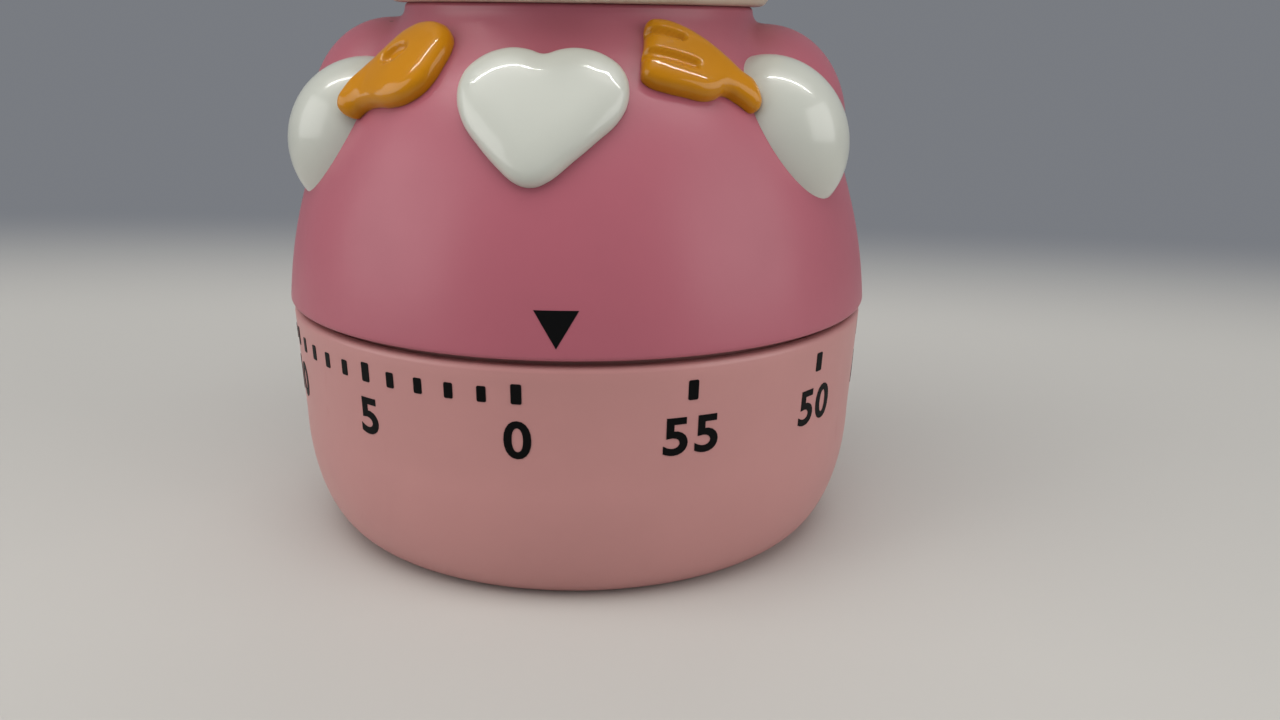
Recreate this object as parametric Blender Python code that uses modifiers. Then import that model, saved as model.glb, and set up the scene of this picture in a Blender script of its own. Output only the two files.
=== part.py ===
"""Wind-up kitchen timer: a turning figure on a fixed, numbered base.

The base holds a clockwork movement. Turning the figure clockwise, seen from
above, winds the mainspring, and the train then lets it back to zero.
Axes: +Z up, -Y is the figure's front, the origin is on the table under the axis.
Lengths below are millimetres and angles degrees; MM turns them into metres.
"""
import math

import bmesh
import bpy
from mathutils import Matrix, Vector

MM = 0.001
GAP = 0.3

# Base: a cup with an upright elliptical lower corner and a slightly flared side.
BASE_HEIGHT = 25.0
BASE_RIM_RADIUS = 31.8
BASE_TAPER = 0.054
CORNER_WIDTH = 5.73
CORNER_HEIGHT = 13.33
BASE_WALL = 1.8
RIM_ROUND = 0.8
FOOT_RING_INNER = 19.0
FLOOR_UNDERSIDE = 0.8
FLOOR_TOP = 2.6
COLLAR_RADIUS = 29.4
COLLAR_TOP = 28.6

# Turning body: a dome whose section is a superellipse, with a short neck.
DOME_RADIUS = 32.3
DOME_HEIGHT = 41.0
DOME_POWER = 2.2
DOME_CENTRE = 19.8
DOME_WALL = 2.0
DOME_RIM = 25.65
NECK_RADIUS = 18.6
NECK_TOP = 56.6
NECK_BORE = 15.8

# Arms and hands: ellipsoids laid against the dome's sides.
ARM_AZIMUTH = 83.5
ARM_REACH = 20.4
ARM_LEVEL = 44.3
ARM_SIZE = (8.6, 11.2, 9.8)
HAND_AZIMUTH = 62.7
HAND_REACH = 23.3
HAND_LEVEL = 43.5
HAND_SIZE = (8.2, 7.0, 8.6)
HAND_LEAN = 15.0

# Raised shapes on the chest, as thicknesses above the dome.
RELIEF_THICKNESS = 1.7
HEART_PLACE = (0.0, 47.3)
HEART_WIDTH = 15.8
HEART_LENGTH = 14.2
SPOON_PLACE = (-37.0, 50.5)
FORK_PLACE = (33.0, 51.0)

# Head: a hollow ellipsoid with round ears, seated in the neck.
HEAD_SIZE = (25.5, 24.6, 20.0)
HEAD_CENTRE = 70.9
HEAD_BOTTOM = 56.9
HEAD_WALL = 2.0
HEAD_PLUG_RADIUS = 15.4
HEAD_PLUG_BOTTOM = 52.5
EAR_RADIUS = 7.2
EAR_PLACE = (17.8, 1.0, 86.0)

# Movement plates, pillars and their screws.
PLATE_RADIUS = 25.6
PLATE_THICKNESS = 0.8
LOWER_PLATE = 4.9
UPPER_PLATE = 17.0
PILLAR_PLACE = 22.0
PILLAR_RADIUS = 1.9
PILLAR_BORE = 1.2
SCREW_RADIUS = 0.9
SCREW_HEAD_RADIUS = 2.0
BOSS_RADIUS = 3.4

# Going train: tooth counts, modules and the levels of the wheels.
MAIN_TEETH = 60
MAIN_MODULE = 0.40
SECOND_PINION_TEETH = 10
SECOND_TEETH = 40
SECOND_MODULE = 0.42
THIRD_PINION_TEETH = 8
THIRD_TEETH = 40
THIRD_MODULE = 0.34
ESCAPE_PINION_TEETH = 8
ESCAPE_TEETH = 15
ESCAPE_RADIUS = 4.5
TRAIN_START = 40.0
THIRD_REACH = 17.3
ESCAPE_REACH = 17.5
LEVER_REACH = 17.5
LEVER_DISTANCE = 6.6
BALANCE_REACH = 15.5
BALANCE_DISTANCE = 7.5
PIVOT_RADIUS = 0.5
ARBOR_RADIUS = 0.6

# Winding arbor, striking work and bell.
WINDING_RADIUS = 2.0
SPRING_OUTER = 9.2
SPRING_INNER = 2.9
SPRING_TURNS = 5
BELL_RADIUS = 20.5
BELL_RIM = 20.0
BELL_TOP = 28.2
BELL_WALL = 0.9
HAMMER_AZIMUTH = 250.0
HAMMER_REACH = 18.5

# Drive plate that carries the body on the arbor.
DRIVE_RADIUS = 24.0
DRIVE_BOTTOM = 34.5
DRIVE_TOP = 36.0
DRIVE_SCREW_PLACE = 19.5

ROUND_STEPS = 36

COLOURS = {
    "body_pink": ((0.62, 0.20, 0.27), 0.42, 0.0),
    "base_pink": ((0.78, 0.40, 0.42), 0.45, 0.0),
    "white_gloss": ((0.82, 0.84, 0.83), 0.18, 0.0),
    "gold_paint": ((0.72, 0.36, 0.04), 0.25, 0.0),
    "cream": ((0.80, 0.74, 0.62), 0.40, 0.0),
    "black_gloss": ((0.02, 0.02, 0.02), 0.15, 0.0),
    "steel": ((0.56, 0.57, 0.58), 0.30, 1.0),
    "brass": ((0.72, 0.53, 0.22), 0.30, 1.0),
    "white_plastic": ((0.75, 0.74, 0.70), 0.50, 0.0),
}


# ---------------------------------------------------------------- scene set-up
def clear_scene():
    for item in list(bpy.data.objects):
        bpy.data.objects.remove(item, do_unlink=True)


def new_collection(name):
    group = bpy.data.collections.new(name)
    bpy.context.scene.collection.children.link(group)
    return group


def finish_material(name):
    made = bpy.data.materials.get(name)
    if made:
        return made
    colour, roughness, metallic = COLOURS[name]
    made = bpy.data.materials.new(name)
    made.use_nodes = True
    shader = made.node_tree.nodes["Principled BSDF"]
    shader.inputs["Base Color"].default_value = (*colour, 1.0)
    shader.inputs["Roughness"].default_value = roughness
    shader.inputs["Metallic"].default_value = metallic
    return made


def link_part(thing, finish):
    PARTS.objects.link(thing)
    part_material = finish_material(finish).copy()
    part_material.name = f"{thing.name}_{finish}"
    thing.data.materials.clear()
    thing.data.materials.append(part_material)
    return thing


def link_cutter(thing):
    CUTTERS.objects.link(thing)
    thing.hide_render = True
    thing.display_type = "WIRE"
    return thing


def smooth_round(thing, angle=35.0):
    thing.data.shade_smooth()
    thing.data.set_sharp_from_angle(angle=math.radians(angle))


# ---------------------------------------------------------------- mesh makers
def mesh_object(name, shape):
    mesh = bpy.data.meshes.new(name)
    shape.to_mesh(mesh)
    shape.free()
    return bpy.data.objects.new(name, mesh)


def baked(source, name):
    """A plain mesh object from what the modifiers or the curve make."""
    source.name = name + "_before"
    bpy.context.view_layer.update()
    graph = bpy.context.evaluated_depsgraph_get()
    mesh = bpy.data.meshes.new_from_object(source.evaluated_get(graph))
    shape = bmesh.new()
    shape.from_mesh(mesh)
    bmesh.ops.remove_doubles(shape, verts=shape.verts, dist=1e-7)
    shape.to_mesh(mesh)
    shape.free()
    result = bpy.data.objects.new(name, mesh)
    result.matrix_world = source.matrix_world.copy()
    bpy.data.objects.remove(source, do_unlink=True)
    return result


def turned(name, profile, steps=ROUND_STEPS, closed=False):
    """A profile of (radius, height) turned round the Z axis."""
    shape = bmesh.new()
    corners = [shape.verts.new((radius * MM, 0.0, level * MM)) for radius, level in profile]
    for first, second in zip(corners, corners[1:]):
        shape.edges.new((first, second))
    if closed:
        shape.edges.new((corners[-1], corners[0]))
    source = mesh_object(name + "_profile", shape)
    bpy.context.scene.collection.objects.link(source)
    screw = source.modifiers.new("Turn", "SCREW")
    screw.axis = "Z"
    screw.angle = 2.0 * math.pi
    screw.steps = steps
    screw.render_steps = steps
    screw.use_merge_vertices = True
    screw.merge_threshold = 0.00001
    screw.use_normal_calculate = False
    return baked(source, name)


def flat_solid(name, outlines, low, high):
    """Flat outlines in millimetres, the outer one first and then its holes."""
    curve = bpy.data.curves.new(name, "CURVE")
    curve.dimensions = "2D"
    curve.fill_mode = "BOTH"
    curve.extrude = (high - low) / 2.0 * MM
    for outline in outlines:
        spline = curve.splines.new("POLY")
        spline.points.add(len(outline) - 1)
        for point, (x, y) in zip(spline.points, outline):
            point.co = (x * MM, y * MM, 0.0, 1.0)
        spline.use_cyclic_u = True
    source = bpy.data.objects.new(name + "_outline", curve)
    bpy.context.scene.collection.objects.link(source)
    source.location.z = (high + low) / 2.0 * MM
    made = baked(source, name)
    made.data.transform(made.matrix_world)
    made.matrix_world = Matrix.Identity(4)
    return made


def wire(name, points, radius, resolution=2, cyclic=False):
    curve = bpy.data.curves.new(name, "CURVE")
    curve.dimensions = "3D"
    curve.bevel_depth = radius * MM
    curve.bevel_resolution = resolution
    curve.use_fill_caps = True
    spline = curve.splines.new("POLY")
    spline.points.add(len(points) - 1)
    for point, place in zip(spline.points, points):
        point.co = (place[0] * MM, place[1] * MM, place[2] * MM, 1.0)
    spline.use_cyclic_u = cyclic
    source = bpy.data.objects.new(name + "_path", curve)
    bpy.context.scene.collection.objects.link(source)
    return baked(source, name)


def rod(name, radius, low, high, sides=12, at=(0.0, 0.0)):
    shape = bmesh.new()
    bmesh.ops.create_cone(shape, cap_ends=True, segments=sides, radius1=radius * MM,
                          radius2=radius * MM, depth=(high - low) * MM)
    middle = Vector((at[0], at[1], (low + high) / 2.0)) * MM
    bmesh.ops.translate(shape, verts=shape.verts, vec=middle)
    return mesh_object(name, shape)


def block(name, size, centre):
    shape = bmesh.new()
    bmesh.ops.create_cube(shape, size=1.0)
    bmesh.ops.scale(shape, verts=shape.verts, vec=Vector(size) * MM)
    bmesh.ops.translate(shape, verts=shape.verts, vec=Vector(centre) * MM)
    return mesh_object(name, shape)


def ball(name, size, placing, columns=18, rows=11):
    """An ellipsoid with half-axes size, put in place by a matrix in millimetres."""
    shape = bmesh.new()
    bmesh.ops.create_uvsphere(shape, u_segments=columns, v_segments=rows, radius=1.0)
    scaling = Matrix.Diagonal((size[0], size[1], size[2], 1.0))
    shape.transform(Matrix.Scale(MM, 4) @ placing @ scaling)
    return mesh_object(name, shape)


def combine(name, target, pieces, operation):
    """Join pieces to the target, cut them from it, or keep what they share."""
    bpy.context.scene.collection.objects.link(target)
    for piece in pieces:
        bpy.context.scene.collection.objects.link(piece)
        step = target.modifiers.new(operation.title(), "BOOLEAN")
        step.operation = operation
        step.solver = "EXACT"
        step.object = piece
    result = baked(target, name)
    for piece in pieces:
        bpy.data.objects.remove(piece, do_unlink=True)
    return result


def cut_with(thing, cutters):
    """Live Boolean cuts, their cutters kept in the cutters' collection."""
    for cutter in cutters:
        link_cutter(cutter)
        step = thing.modifiers.new("Cut", "BOOLEAN")
        step.operation = "DIFFERENCE"
        step.solver = "EXACT"
        step.object = cutter


# ---------------------------------------------------------------- geometry rules
def polar(radius, degrees):
    angle = math.radians(degrees)
    return (radius * math.cos(angle), radius * math.sin(angle))


def front_polar(radius, azimuth):
    """Plan position at an azimuth from the front (-Y), positive towards +X."""
    angle = math.radians(azimuth)
    return (radius * math.sin(angle), -radius * math.cos(angle))


def circle(radius, sides, at=(0.0, 0.0), start=0.0):
    points = []
    for index in range(sides):
        x, y = polar(radius, start + 360.0 * index / sides)
        points.append((at[0] + x, at[1] + y))
    return points


def base_radius(level, inset=0.0):
    """Outer radius of the base at a level, for the wall drawn in by inset."""
    if level >= CORNER_HEIGHT:
        return BASE_RIM_RADIUS - BASE_TAPER * (BASE_HEIGHT - level) - inset
    side = BASE_RIM_RADIUS - BASE_TAPER * (BASE_HEIGHT - CORNER_HEIGHT)
    drop = (CORNER_HEIGHT - level) / CORNER_HEIGHT
    return side - CORNER_WIDTH * (1.0 - math.sqrt(max(0.0, 1.0 - drop * drop))) - inset


def dome_level(radius, offset=0.0):
    """Height of the dome's outer surface at a radius."""
    share = min(1.0, radius / (DOME_RADIUS + offset))
    return DOME_CENTRE + (DOME_HEIGHT + offset) * (1.0 - share**DOME_POWER) ** (1.0 / DOME_POWER)


def dome_radius(level, offset=0.0):
    share = min(1.0, abs(level - DOME_CENTRE) / (DOME_HEIGHT + offset))
    return (DOME_RADIUS + offset) * (1.0 - share**DOME_POWER) ** (1.0 / DOME_POWER)


def dome_frame(azimuth, level):
    """A frame on the dome: X to the side, Y up the slope, Z out of the surface."""
    x, y = front_polar(dome_radius(level), azimuth)
    step = 0.1
    run = dome_radius(level + step) - dome_radius(level - step)
    up_x, up_y = front_polar(run, azimuth)
    up = Vector((up_x, up_y, 2.0 * step)).normalized()
    angle = math.radians(azimuth)
    side = Vector((math.cos(angle), math.sin(angle), 0.0))
    out = side.cross(up)
    frame = Matrix((side, up, out)).transposed().to_4x4()
    frame.translation = Vector((x, y, level))
    return frame


# ---------------------------------------------------------------- base
def base_profile():
    """Inner floor, inner wall, collar, rim, outer side, foot ring and underside."""
    inner_levels = (FLOOR_TOP, 4.5, 8.0, 13.5, 22.0)
    inside = [(base_radius(level, BASE_WALL), level) for level in inner_levels]
    inside[0] = (inside[0][0] - 1.2, FLOOR_TOP)
    collar = [
        (COLLAR_RADIUS - 1.4, 24.0),
        (COLLAR_RADIUS - 1.4, COLLAR_TOP),
        (COLLAR_RADIUS, COLLAR_TOP),
        (COLLAR_RADIUS, BASE_HEIGHT - 1.2),
        (BASE_RIM_RADIUS - BASE_WALL + 0.3, BASE_HEIGHT - 0.2),
    ]
    rim = []
    for degrees in (90.0, 50.0, 10.0):
        x, y = polar(RIM_ROUND, degrees)
        rim.append((BASE_RIM_RADIUS - RIM_ROUND + x - 0.05, BASE_HEIGHT - RIM_ROUND + y))
    outside = []
    for level in (CORNER_HEIGHT, 9.0, 5.5, 3.0, 1.3, 0.4, 0.0):
        outside.append((base_radius(level), level))
    foot = [(FOOT_RING_INNER, 0.0), (FOOT_RING_INNER - 0.8, FLOOR_UNDERSIDE), (0.0, FLOOR_UNDERSIDE)]
    return [(0.0, FLOOR_TOP)] + inside + collar + rim + outside + foot


def pillar_places():
    """Three pillars, set between the wheels of the train."""
    return [polar(PILLAR_PLACE, TRAIN_START + turn) for turn in (-38.0, 83.0, 200.0)]


def build_base_shell():
    shell = turned("base_shell", base_profile())
    bosses = []
    counterbores = []
    for place in pillar_places():
        bosses.append(rod("boss", BOSS_RADIUS, FLOOR_UNDERSIDE + 0.4, LOWER_PLATE - GAP, 16, place))
        counterbores.append(rod("screw_pocket", SCREW_HEAD_RADIUS + GAP, -0.5, 2.9, 14, place))
        counterbores.append(rod("screw_hole", SCREW_RADIUS + GAP, -0.5, 6.0, 12, place))
    bearing = rod("bearing", 3.4, FLOOR_UNDERSIDE + 0.4, LOWER_PLATE - GAP, 16)
    shell = combine("base_shell", shell, bosses + [bearing], "UNION")
    counterbores.append(rod("bearing_bore", 1.3 + GAP, FLOOR_TOP - 0.6, 6.0, 14))
    link_part(shell, "base_pink")
    cut_with(shell, counterbores)
    smooth_round(shell)


def screw_mesh(name, shank_radius, head_radius, head_height, length):
    """A cheese-head screw standing on its head at the origin, shank upwards."""
    screw = rod(name, head_radius, 0.0, head_height, 10)
    shank = rod("shank", shank_radius, head_height / 2.0, head_height + length, 8)
    screw = combine(name, screw, [shank], "UNION")
    slot = block("slot", (head_radius * 2.4, 0.5, 0.9), (0.0, 0.0, 0.0))
    screw = combine(name, screw, [slot], "DIFFERENCE")
    return screw.data


def place_screws(prefix, mesh, places, level, upside_down, finish):
    for index, (x, y) in enumerate(places, start=1):
        screw = bpy.data.objects.new(f"{prefix}_{index}", mesh)
        screw.location = Vector((x, y, level)) * MM
        if upside_down:
            screw.rotation_euler.x = math.pi
        screw.rotation_euler.z = math.radians(35.0 * index)
        link_part(screw, finish)


def plate_outline(holes):
    outlines = [circle(PLATE_RADIUS, 40)]
    for x, y, radius in holes:
        outlines.append(circle(radius, 8, (x, y)))
    return outlines


def train_holes():
    places = train_places()
    pivot = PIVOT_RADIUS + GAP
    holes = [(*places[name], pivot) for name in ("second", "third", "escape", "lever", "balance")]
    holes += [(x, y, PILLAR_BORE) for x, y in pillar_places()]
    return holes


def build_plates():
    centre = (0.0, 0.0, WINDING_RADIUS + GAP)
    pin = (*hammer_places()["pivot"], PIVOT_RADIUS + GAP)
    lower = train_holes() + [(0.0, 0.0, 1.3 + GAP), pin]
    bottom_plate = flat_solid("bottom_plate", plate_outline(lower), LOWER_PLATE,
                              LOWER_PLATE + PLATE_THICKNESS)
    link_part(bottom_plate, "steel")
    upright = (*hammer_places()["upright"], 2.4)
    upper = train_holes() + [centre, pin, upright]
    upper += [(x, y, SCREW_RADIUS + GAP) for x, y in bell_screw_places()]
    top_plate = flat_solid("top_plate", plate_outline(upper), UPPER_PLATE,
                           UPPER_PLATE + PLATE_THICKNESS)
    link_part(top_plate, "steel")


def build_pillars():
    low = LOWER_PLATE + PLATE_THICKNESS + GAP
    high = UPPER_PLATE - GAP
    tube = [(PILLAR_BORE, high), (PILLAR_RADIUS, high), (PILLAR_RADIUS, low), (PILLAR_BORE, low)]
    first = turned("pillar_pattern", tube, 12, closed=True)
    for index, (x, y) in enumerate(pillar_places(), start=1):
        pillar = bpy.data.objects.new(f"plate_pillar_{index}", first.data)
        pillar.location = Vector((x, y, 0.0)) * MM
        link_part(pillar, "steel")
    bpy.data.objects.remove(first, do_unlink=True)


def build_plate_screws():
    from_below = screw_mesh("case_screw", SCREW_RADIUS, SCREW_HEAD_RADIUS, 1.4, 7.5)
    place_screws("case_screw", from_below, pillar_places(), 1.2, False, "steel")
    from_above = screw_mesh("plate_screw", SCREW_RADIUS, SCREW_HEAD_RADIUS, 1.2, 5.0)
    level = UPPER_PLATE + PLATE_THICKNESS + GAP + 1.2
    place_screws("plate_screw", from_above, pillar_places(), level, True, "steel")


# ---------------------------------------------------------------- train
def next_azimuth(reach_a, azimuth_a, reach_b, distance):
    """Angle of a point at reach_b, distance away from the point before it."""
    cosine = (reach_a**2 + reach_b**2 - distance**2) / (2.0 * reach_a * reach_b)
    return azimuth_a + math.degrees(math.acos(cosine))


def train_places():
    """Plan positions of every arbor of the train, on an arc round the centre."""
    second_reach = (MAIN_TEETH + SECOND_PINION_TEETH) * MAIN_MODULE / 2.0
    third_distance = (SECOND_TEETH + THIRD_PINION_TEETH) * SECOND_MODULE / 2.0
    escape_distance = (THIRD_TEETH + ESCAPE_PINION_TEETH) * THIRD_MODULE / 2.0
    second = TRAIN_START
    third = next_azimuth(second_reach, second, THIRD_REACH, third_distance)
    escape = next_azimuth(THIRD_REACH, third, ESCAPE_REACH, escape_distance)
    lever = next_azimuth(ESCAPE_REACH, escape, LEVER_REACH, LEVER_DISTANCE)
    balance = next_azimuth(LEVER_REACH, lever, BALANCE_REACH, BALANCE_DISTANCE)
    return {
        "second": polar(second_reach, second),
        "third": polar(THIRD_REACH, third),
        "escape": polar(ESCAPE_REACH, escape),
        "lever": polar(LEVER_REACH, lever),
        "balance": polar(BALANCE_REACH, balance),
    }


def heading(start, end):
    return math.degrees(math.atan2(end[1] - start[1], end[0] - start[0]))


def wheel_outline(teeth, module, heading_degrees):
    """Clock wheel with tapered teeth, one of them on the heading."""
    pitch = teeth * module / 2.0
    root = pitch - 1.45 * module
    tip = pitch + 1.05 * module
    root_half = math.degrees(0.88 * module / root)
    tip_half = math.degrees(0.17 * module / tip)
    points = []
    for index in range(teeth):
        middle = heading_degrees + 360.0 * index / teeth
        points.append(polar(root, middle - root_half))
        points.append(polar(tip, middle - tip_half))
        points.append(polar(tip, middle + tip_half))
        points.append(polar(root, middle + root_half))
    return points


def pinion_outline(teeth, module, heading_degrees):
    """Clock pinion with narrow leaves, a gap of it facing the heading."""
    pitch = teeth * module / 2.0
    half = math.degrees(0.52 * module / pitch)
    root = pitch - 1.6 * module
    tip = pitch + 0.6 * module
    points = []
    for index in range(teeth):
        middle = heading_degrees + 180.0 / teeth + 360.0 * index / teeth
        points.append(polar(root, middle - half))
        points.append(polar(pitch, middle - half))
        points.append(polar(tip, middle))
        points.append(polar(pitch, middle + half))
        points.append(polar(root, middle + half))
    return points


def wheel_windows(inner, outer, count):
    """Window holes between a wheel's spokes, as flat outlines."""
    windows = []
    spoke = 9.0
    for index in range(count):
        start = 360.0 * index / count + spoke
        end = 360.0 * (index + 1) / count - spoke
        arc = [start + (end - start) * step / 4.0 for step in range(5)]
        window = [polar(outer, degrees) for degrees in arc]
        window += [polar(inner, degrees) for degrees in reversed(arc[::2])]
        windows.append(window)
    return windows


def set_on_axis(thing, place, finish):
    thing.location = Vector((place[0], place[1], 0.0)) * MM
    link_part(thing, finish)


def build_wheel(name, teeth, module, place, partner, low, high):
    outline = wheel_outline(teeth, module, heading(place, partner))
    bore = circle(ARBOR_RADIUS + GAP, 10)
    pitch = teeth * module / 2.0
    windows = wheel_windows(2.2, pitch - 2.4 * module - 0.3, 4)
    wheel = flat_solid(name, [outline, bore] + windows, low, high)
    set_on_axis(wheel, place, "brass")


def build_pinion(name, teeth, module, place, partner, levels):
    """An arbor with its pinion cut on it; levels are foot, leaves' low and high, top."""
    foot, low, high, top = levels
    leaves = flat_solid("leaves", [pinion_outline(teeth, module, heading(place, partner))], low, high)
    root = teeth * module / 2.0 - 1.6 * module
    shaft = min(ARBOR_RADIUS, root * 0.8)
    arbor = combine(name, leaves, [rod("shaft", shaft, foot, top, 10)], "UNION")
    set_on_axis(arbor, place, "steel")


def build_train():
    places = train_places()
    centre = (0.0, 0.0)
    foot = LOWER_PLATE + 0.2
    top = UPPER_PLATE + PLATE_THICKNESS - 0.2
    build_pinion("second_arbor", SECOND_PINION_TEETH, MAIN_MODULE, places["second"], centre,
                 (foot, 11.4, 13.4, top))
    build_wheel("second_wheel", SECOND_TEETH, SECOND_MODULE, places["second"], places["third"],
                14.9, 15.5)
    build_pinion("third_arbor", THIRD_PINION_TEETH, SECOND_MODULE, places["third"],
                 places["second"], (foot, 14.4, 16.0, top))
    build_wheel("third_wheel", THIRD_TEETH, THIRD_MODULE, places["third"], places["escape"],
                8.0, 8.6)
    build_pinion("escape_arbor", ESCAPE_PINION_TEETH, THIRD_MODULE, places["escape"],
                 places["third"], (foot, 7.6, 9.0, top))
    build_escape_wheel(places["escape"])


def build_escape_wheel(place):
    """Fifteen pointed teeth that lean forwards."""
    points = []
    step = 360.0 / ESCAPE_TEETH
    for index in range(ESCAPE_TEETH):
        start = index * step
        points.append(polar(3.3, start))
        points.append(polar(ESCAPE_RADIUS, start + 0.62 * step))
        points.append(polar(3.3, start + 0.70 * step))
    wheel = flat_solid("escape_wheel", [points, circle(ARBOR_RADIUS + GAP, 10)], 10.2, 10.7)
    set_on_axis(wheel, place, "brass")


def bar_outline(length_back, length_front, half_width):
    return [(-length_back, -half_width), (length_front, -half_width),
            (length_front, half_width), (-length_back, half_width)]


def build_lever():
    """The anchor: two pins by the escape wheel and a fork towards the balance."""
    places = train_places()
    pivot = places["lever"]
    towards_escape = heading(pivot, places["escape"])
    towards_balance = heading(pivot, places["balance"])
    anchor = rod("lever", 1.4, 9.2, 9.8, 14)
    pieces = []
    for side in (-1.0, 1.0):
        angle = towards_escape + side * 56.0
        arm = flat_solid("arm", [bar_outline(0.0, 4.4, 0.45)], 9.25, 9.75)
        arm.data.transform(Matrix.Rotation(math.radians(angle), 4, "Z"))
        pieces.append(arm)
        pieces.append(rod("pallet_pin", 0.35, 9.4, 11.0, 8, polar(4.05, angle)))
    fork = [(0.0, -0.6), (4.2, -0.6), (4.7, -1.3), (6.5, -1.3), (6.5, -0.75), (5.1, -0.75),
            (5.1, 0.75), (6.5, 0.75), (6.5, 1.3), (4.7, 1.3), (4.2, 0.6), (0.0, 0.6)]
    stem = flat_solid("stem", [fork], 9.28, 9.72)
    stem.data.transform(Matrix.Rotation(math.radians(towards_balance), 4, "Z"))
    pieces.append(stem)
    pieces.append(rod("staff", PIVOT_RADIUS, LOWER_PLATE + 0.2, UPPER_PLATE + 0.6, 10))
    set_on_axis(combine("pallet_lever", anchor, pieces, "UNION"), pivot, "brass")


def build_balance():
    places = train_places()
    centre = places["balance"]
    towards_lever = heading(centre, places["lever"])
    rim = flat_solid("balance_wheel", [circle(6.0, 22), circle(5.0, 22)], 13.6, 14.6)
    spokes = [rod("hub", 1.5, 13.6, 14.6, 12)]
    for turn in (0.0, 60.0, 120.0):
        spoke = flat_solid("spoke", [bar_outline(5.3, 5.3, 0.4)], 13.8, 14.4)
        spoke.data.transform(Matrix.Rotation(math.radians(turn), 4, "Z"))
        spokes.append(spoke)
    wheel = combine("balance_wheel", rim, spokes, "UNION")
    wheel = combine("balance_wheel", wheel, [rod("bore", 0.4 + GAP, 13.0, 15.0, 10)], "DIFFERENCE")
    set_on_axis(wheel, centre, "brass")
    staff = rod("balance_staff", 0.4, LOWER_PLATE + 0.2, UPPER_PLATE + 0.6, 10)
    roller = rod("roller", 2.0, 10.4, 11.0, 14)
    pin = rod("impulse_pin", 0.3, 9.0, 10.7, 8, polar(1.6, towards_lever))
    staff = combine("balance_staff", staff, [roller, pin], "UNION")
    set_on_axis(staff, centre, "steel")
    turns = 3
    points = []
    for index in range(turns * 10 + 1):
        radius = 1.2 + 3.4 * index / (turns * 10.0)
        x, y = polar(radius, 36.0 * index)
        points.append((x, y, 15.6))
    hairspring = wire("hairspring", points, 0.12, 0)
    set_on_axis(hairspring, centre, "steel")


def build_winding_work():
    """Arbor, main wheel, ratchet, click and trip cam, which all turn with the body."""
    shaft = rod("winding_arbor", WINDING_RADIUS, 6.0, 30.5, 16)
    pivot = rod("pivot", 1.3, 2.4, 6.5, 12)
    flat = [polar(WINDING_RADIUS, degrees) for degrees in range(40, 321, 28)]
    key = flat_solid("key", [flat], 30.0, 35.6)
    arbor = combine("winding_arbor", shaft, [pivot, key], "UNION")
    link_part(arbor, "steel")

    pinion = train_places()["second"]
    outline = wheel_outline(MAIN_TEETH, MAIN_MODULE, heading((0.0, 0.0), pinion))
    windows = wheel_windows(7.6, 10.0, 4)
    bore = circle(WINDING_RADIUS + GAP, 16)
    main_wheel = flat_solid("main_wheel", [outline, bore] + windows, 11.9, 12.9)
    link_part(main_wheel, "brass")

    teeth = 18
    points = []
    for index in range(teeth):
        points.append(polar(4.4, 360.0 * index / teeth))
        points.append(polar(5.2, 360.0 * (index + 0.9) / teeth))
    ratchet = flat_solid("ratchet_wheel", [points, bore], 13.2, 13.9)
    link_part(ratchet, "steel")

    click = [(5.6, 0.6), (6.6, 0.1), (7.6, 0.4), (8.0, 1.5), (7.6, 3.4), (6.6, 3.8), (6.3, 2.6)]
    click_part = flat_solid("click", [click], 13.2, 13.9)
    link_part(click_part, "steel")

    cam = []
    for degrees in range(0, 360, 12):
        near = abs(degrees - 180) <= 12
        cam.append(polar(5.4 if near else 6.5, degrees + HAMMER_AZIMUTH + 20.0))
    trip_cam = flat_solid("trip_cam", [cam, bore], 15.9, 16.6)
    link_part(trip_cam, "brass")


def build_mainspring():
    """A flat steel spiral whose inner turn stands clear of the arbor."""
    steps = SPRING_TURNS * 14
    half = 0.17
    outer = []
    inner = []
    for index in range(steps + 1):
        radius = SPRING_INNER + (SPRING_OUTER - SPRING_INNER) * index / steps
        degrees = 360.0 * SPRING_TURNS * index / steps
        outer.append(polar(radius + half, degrees))
        inner.append(polar(radius - half, degrees))
    ribbon = flat_solid("mainspring", [outer + inner[::-1]], 6.4, 10.8)
    link_part(ribbon, "steel")
    post = rod("spring_post", 0.7, LOWER_PLATE + PLATE_THICKNESS + GAP, 11.2, 10,
               (SPRING_OUTER + 0.17 + 0.7 + GAP, 0.0))
    link_part(post, "steel")


# ---------------------------------------------------------------- striking work
def hammer_places():
    pivot = polar(HAMMER_REACH, HAMMER_AZIMUTH)
    upright = polar(22.4, HAMMER_AZIMUTH + 17.0)
    return {"pivot": pivot, "upright": upright}


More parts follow.
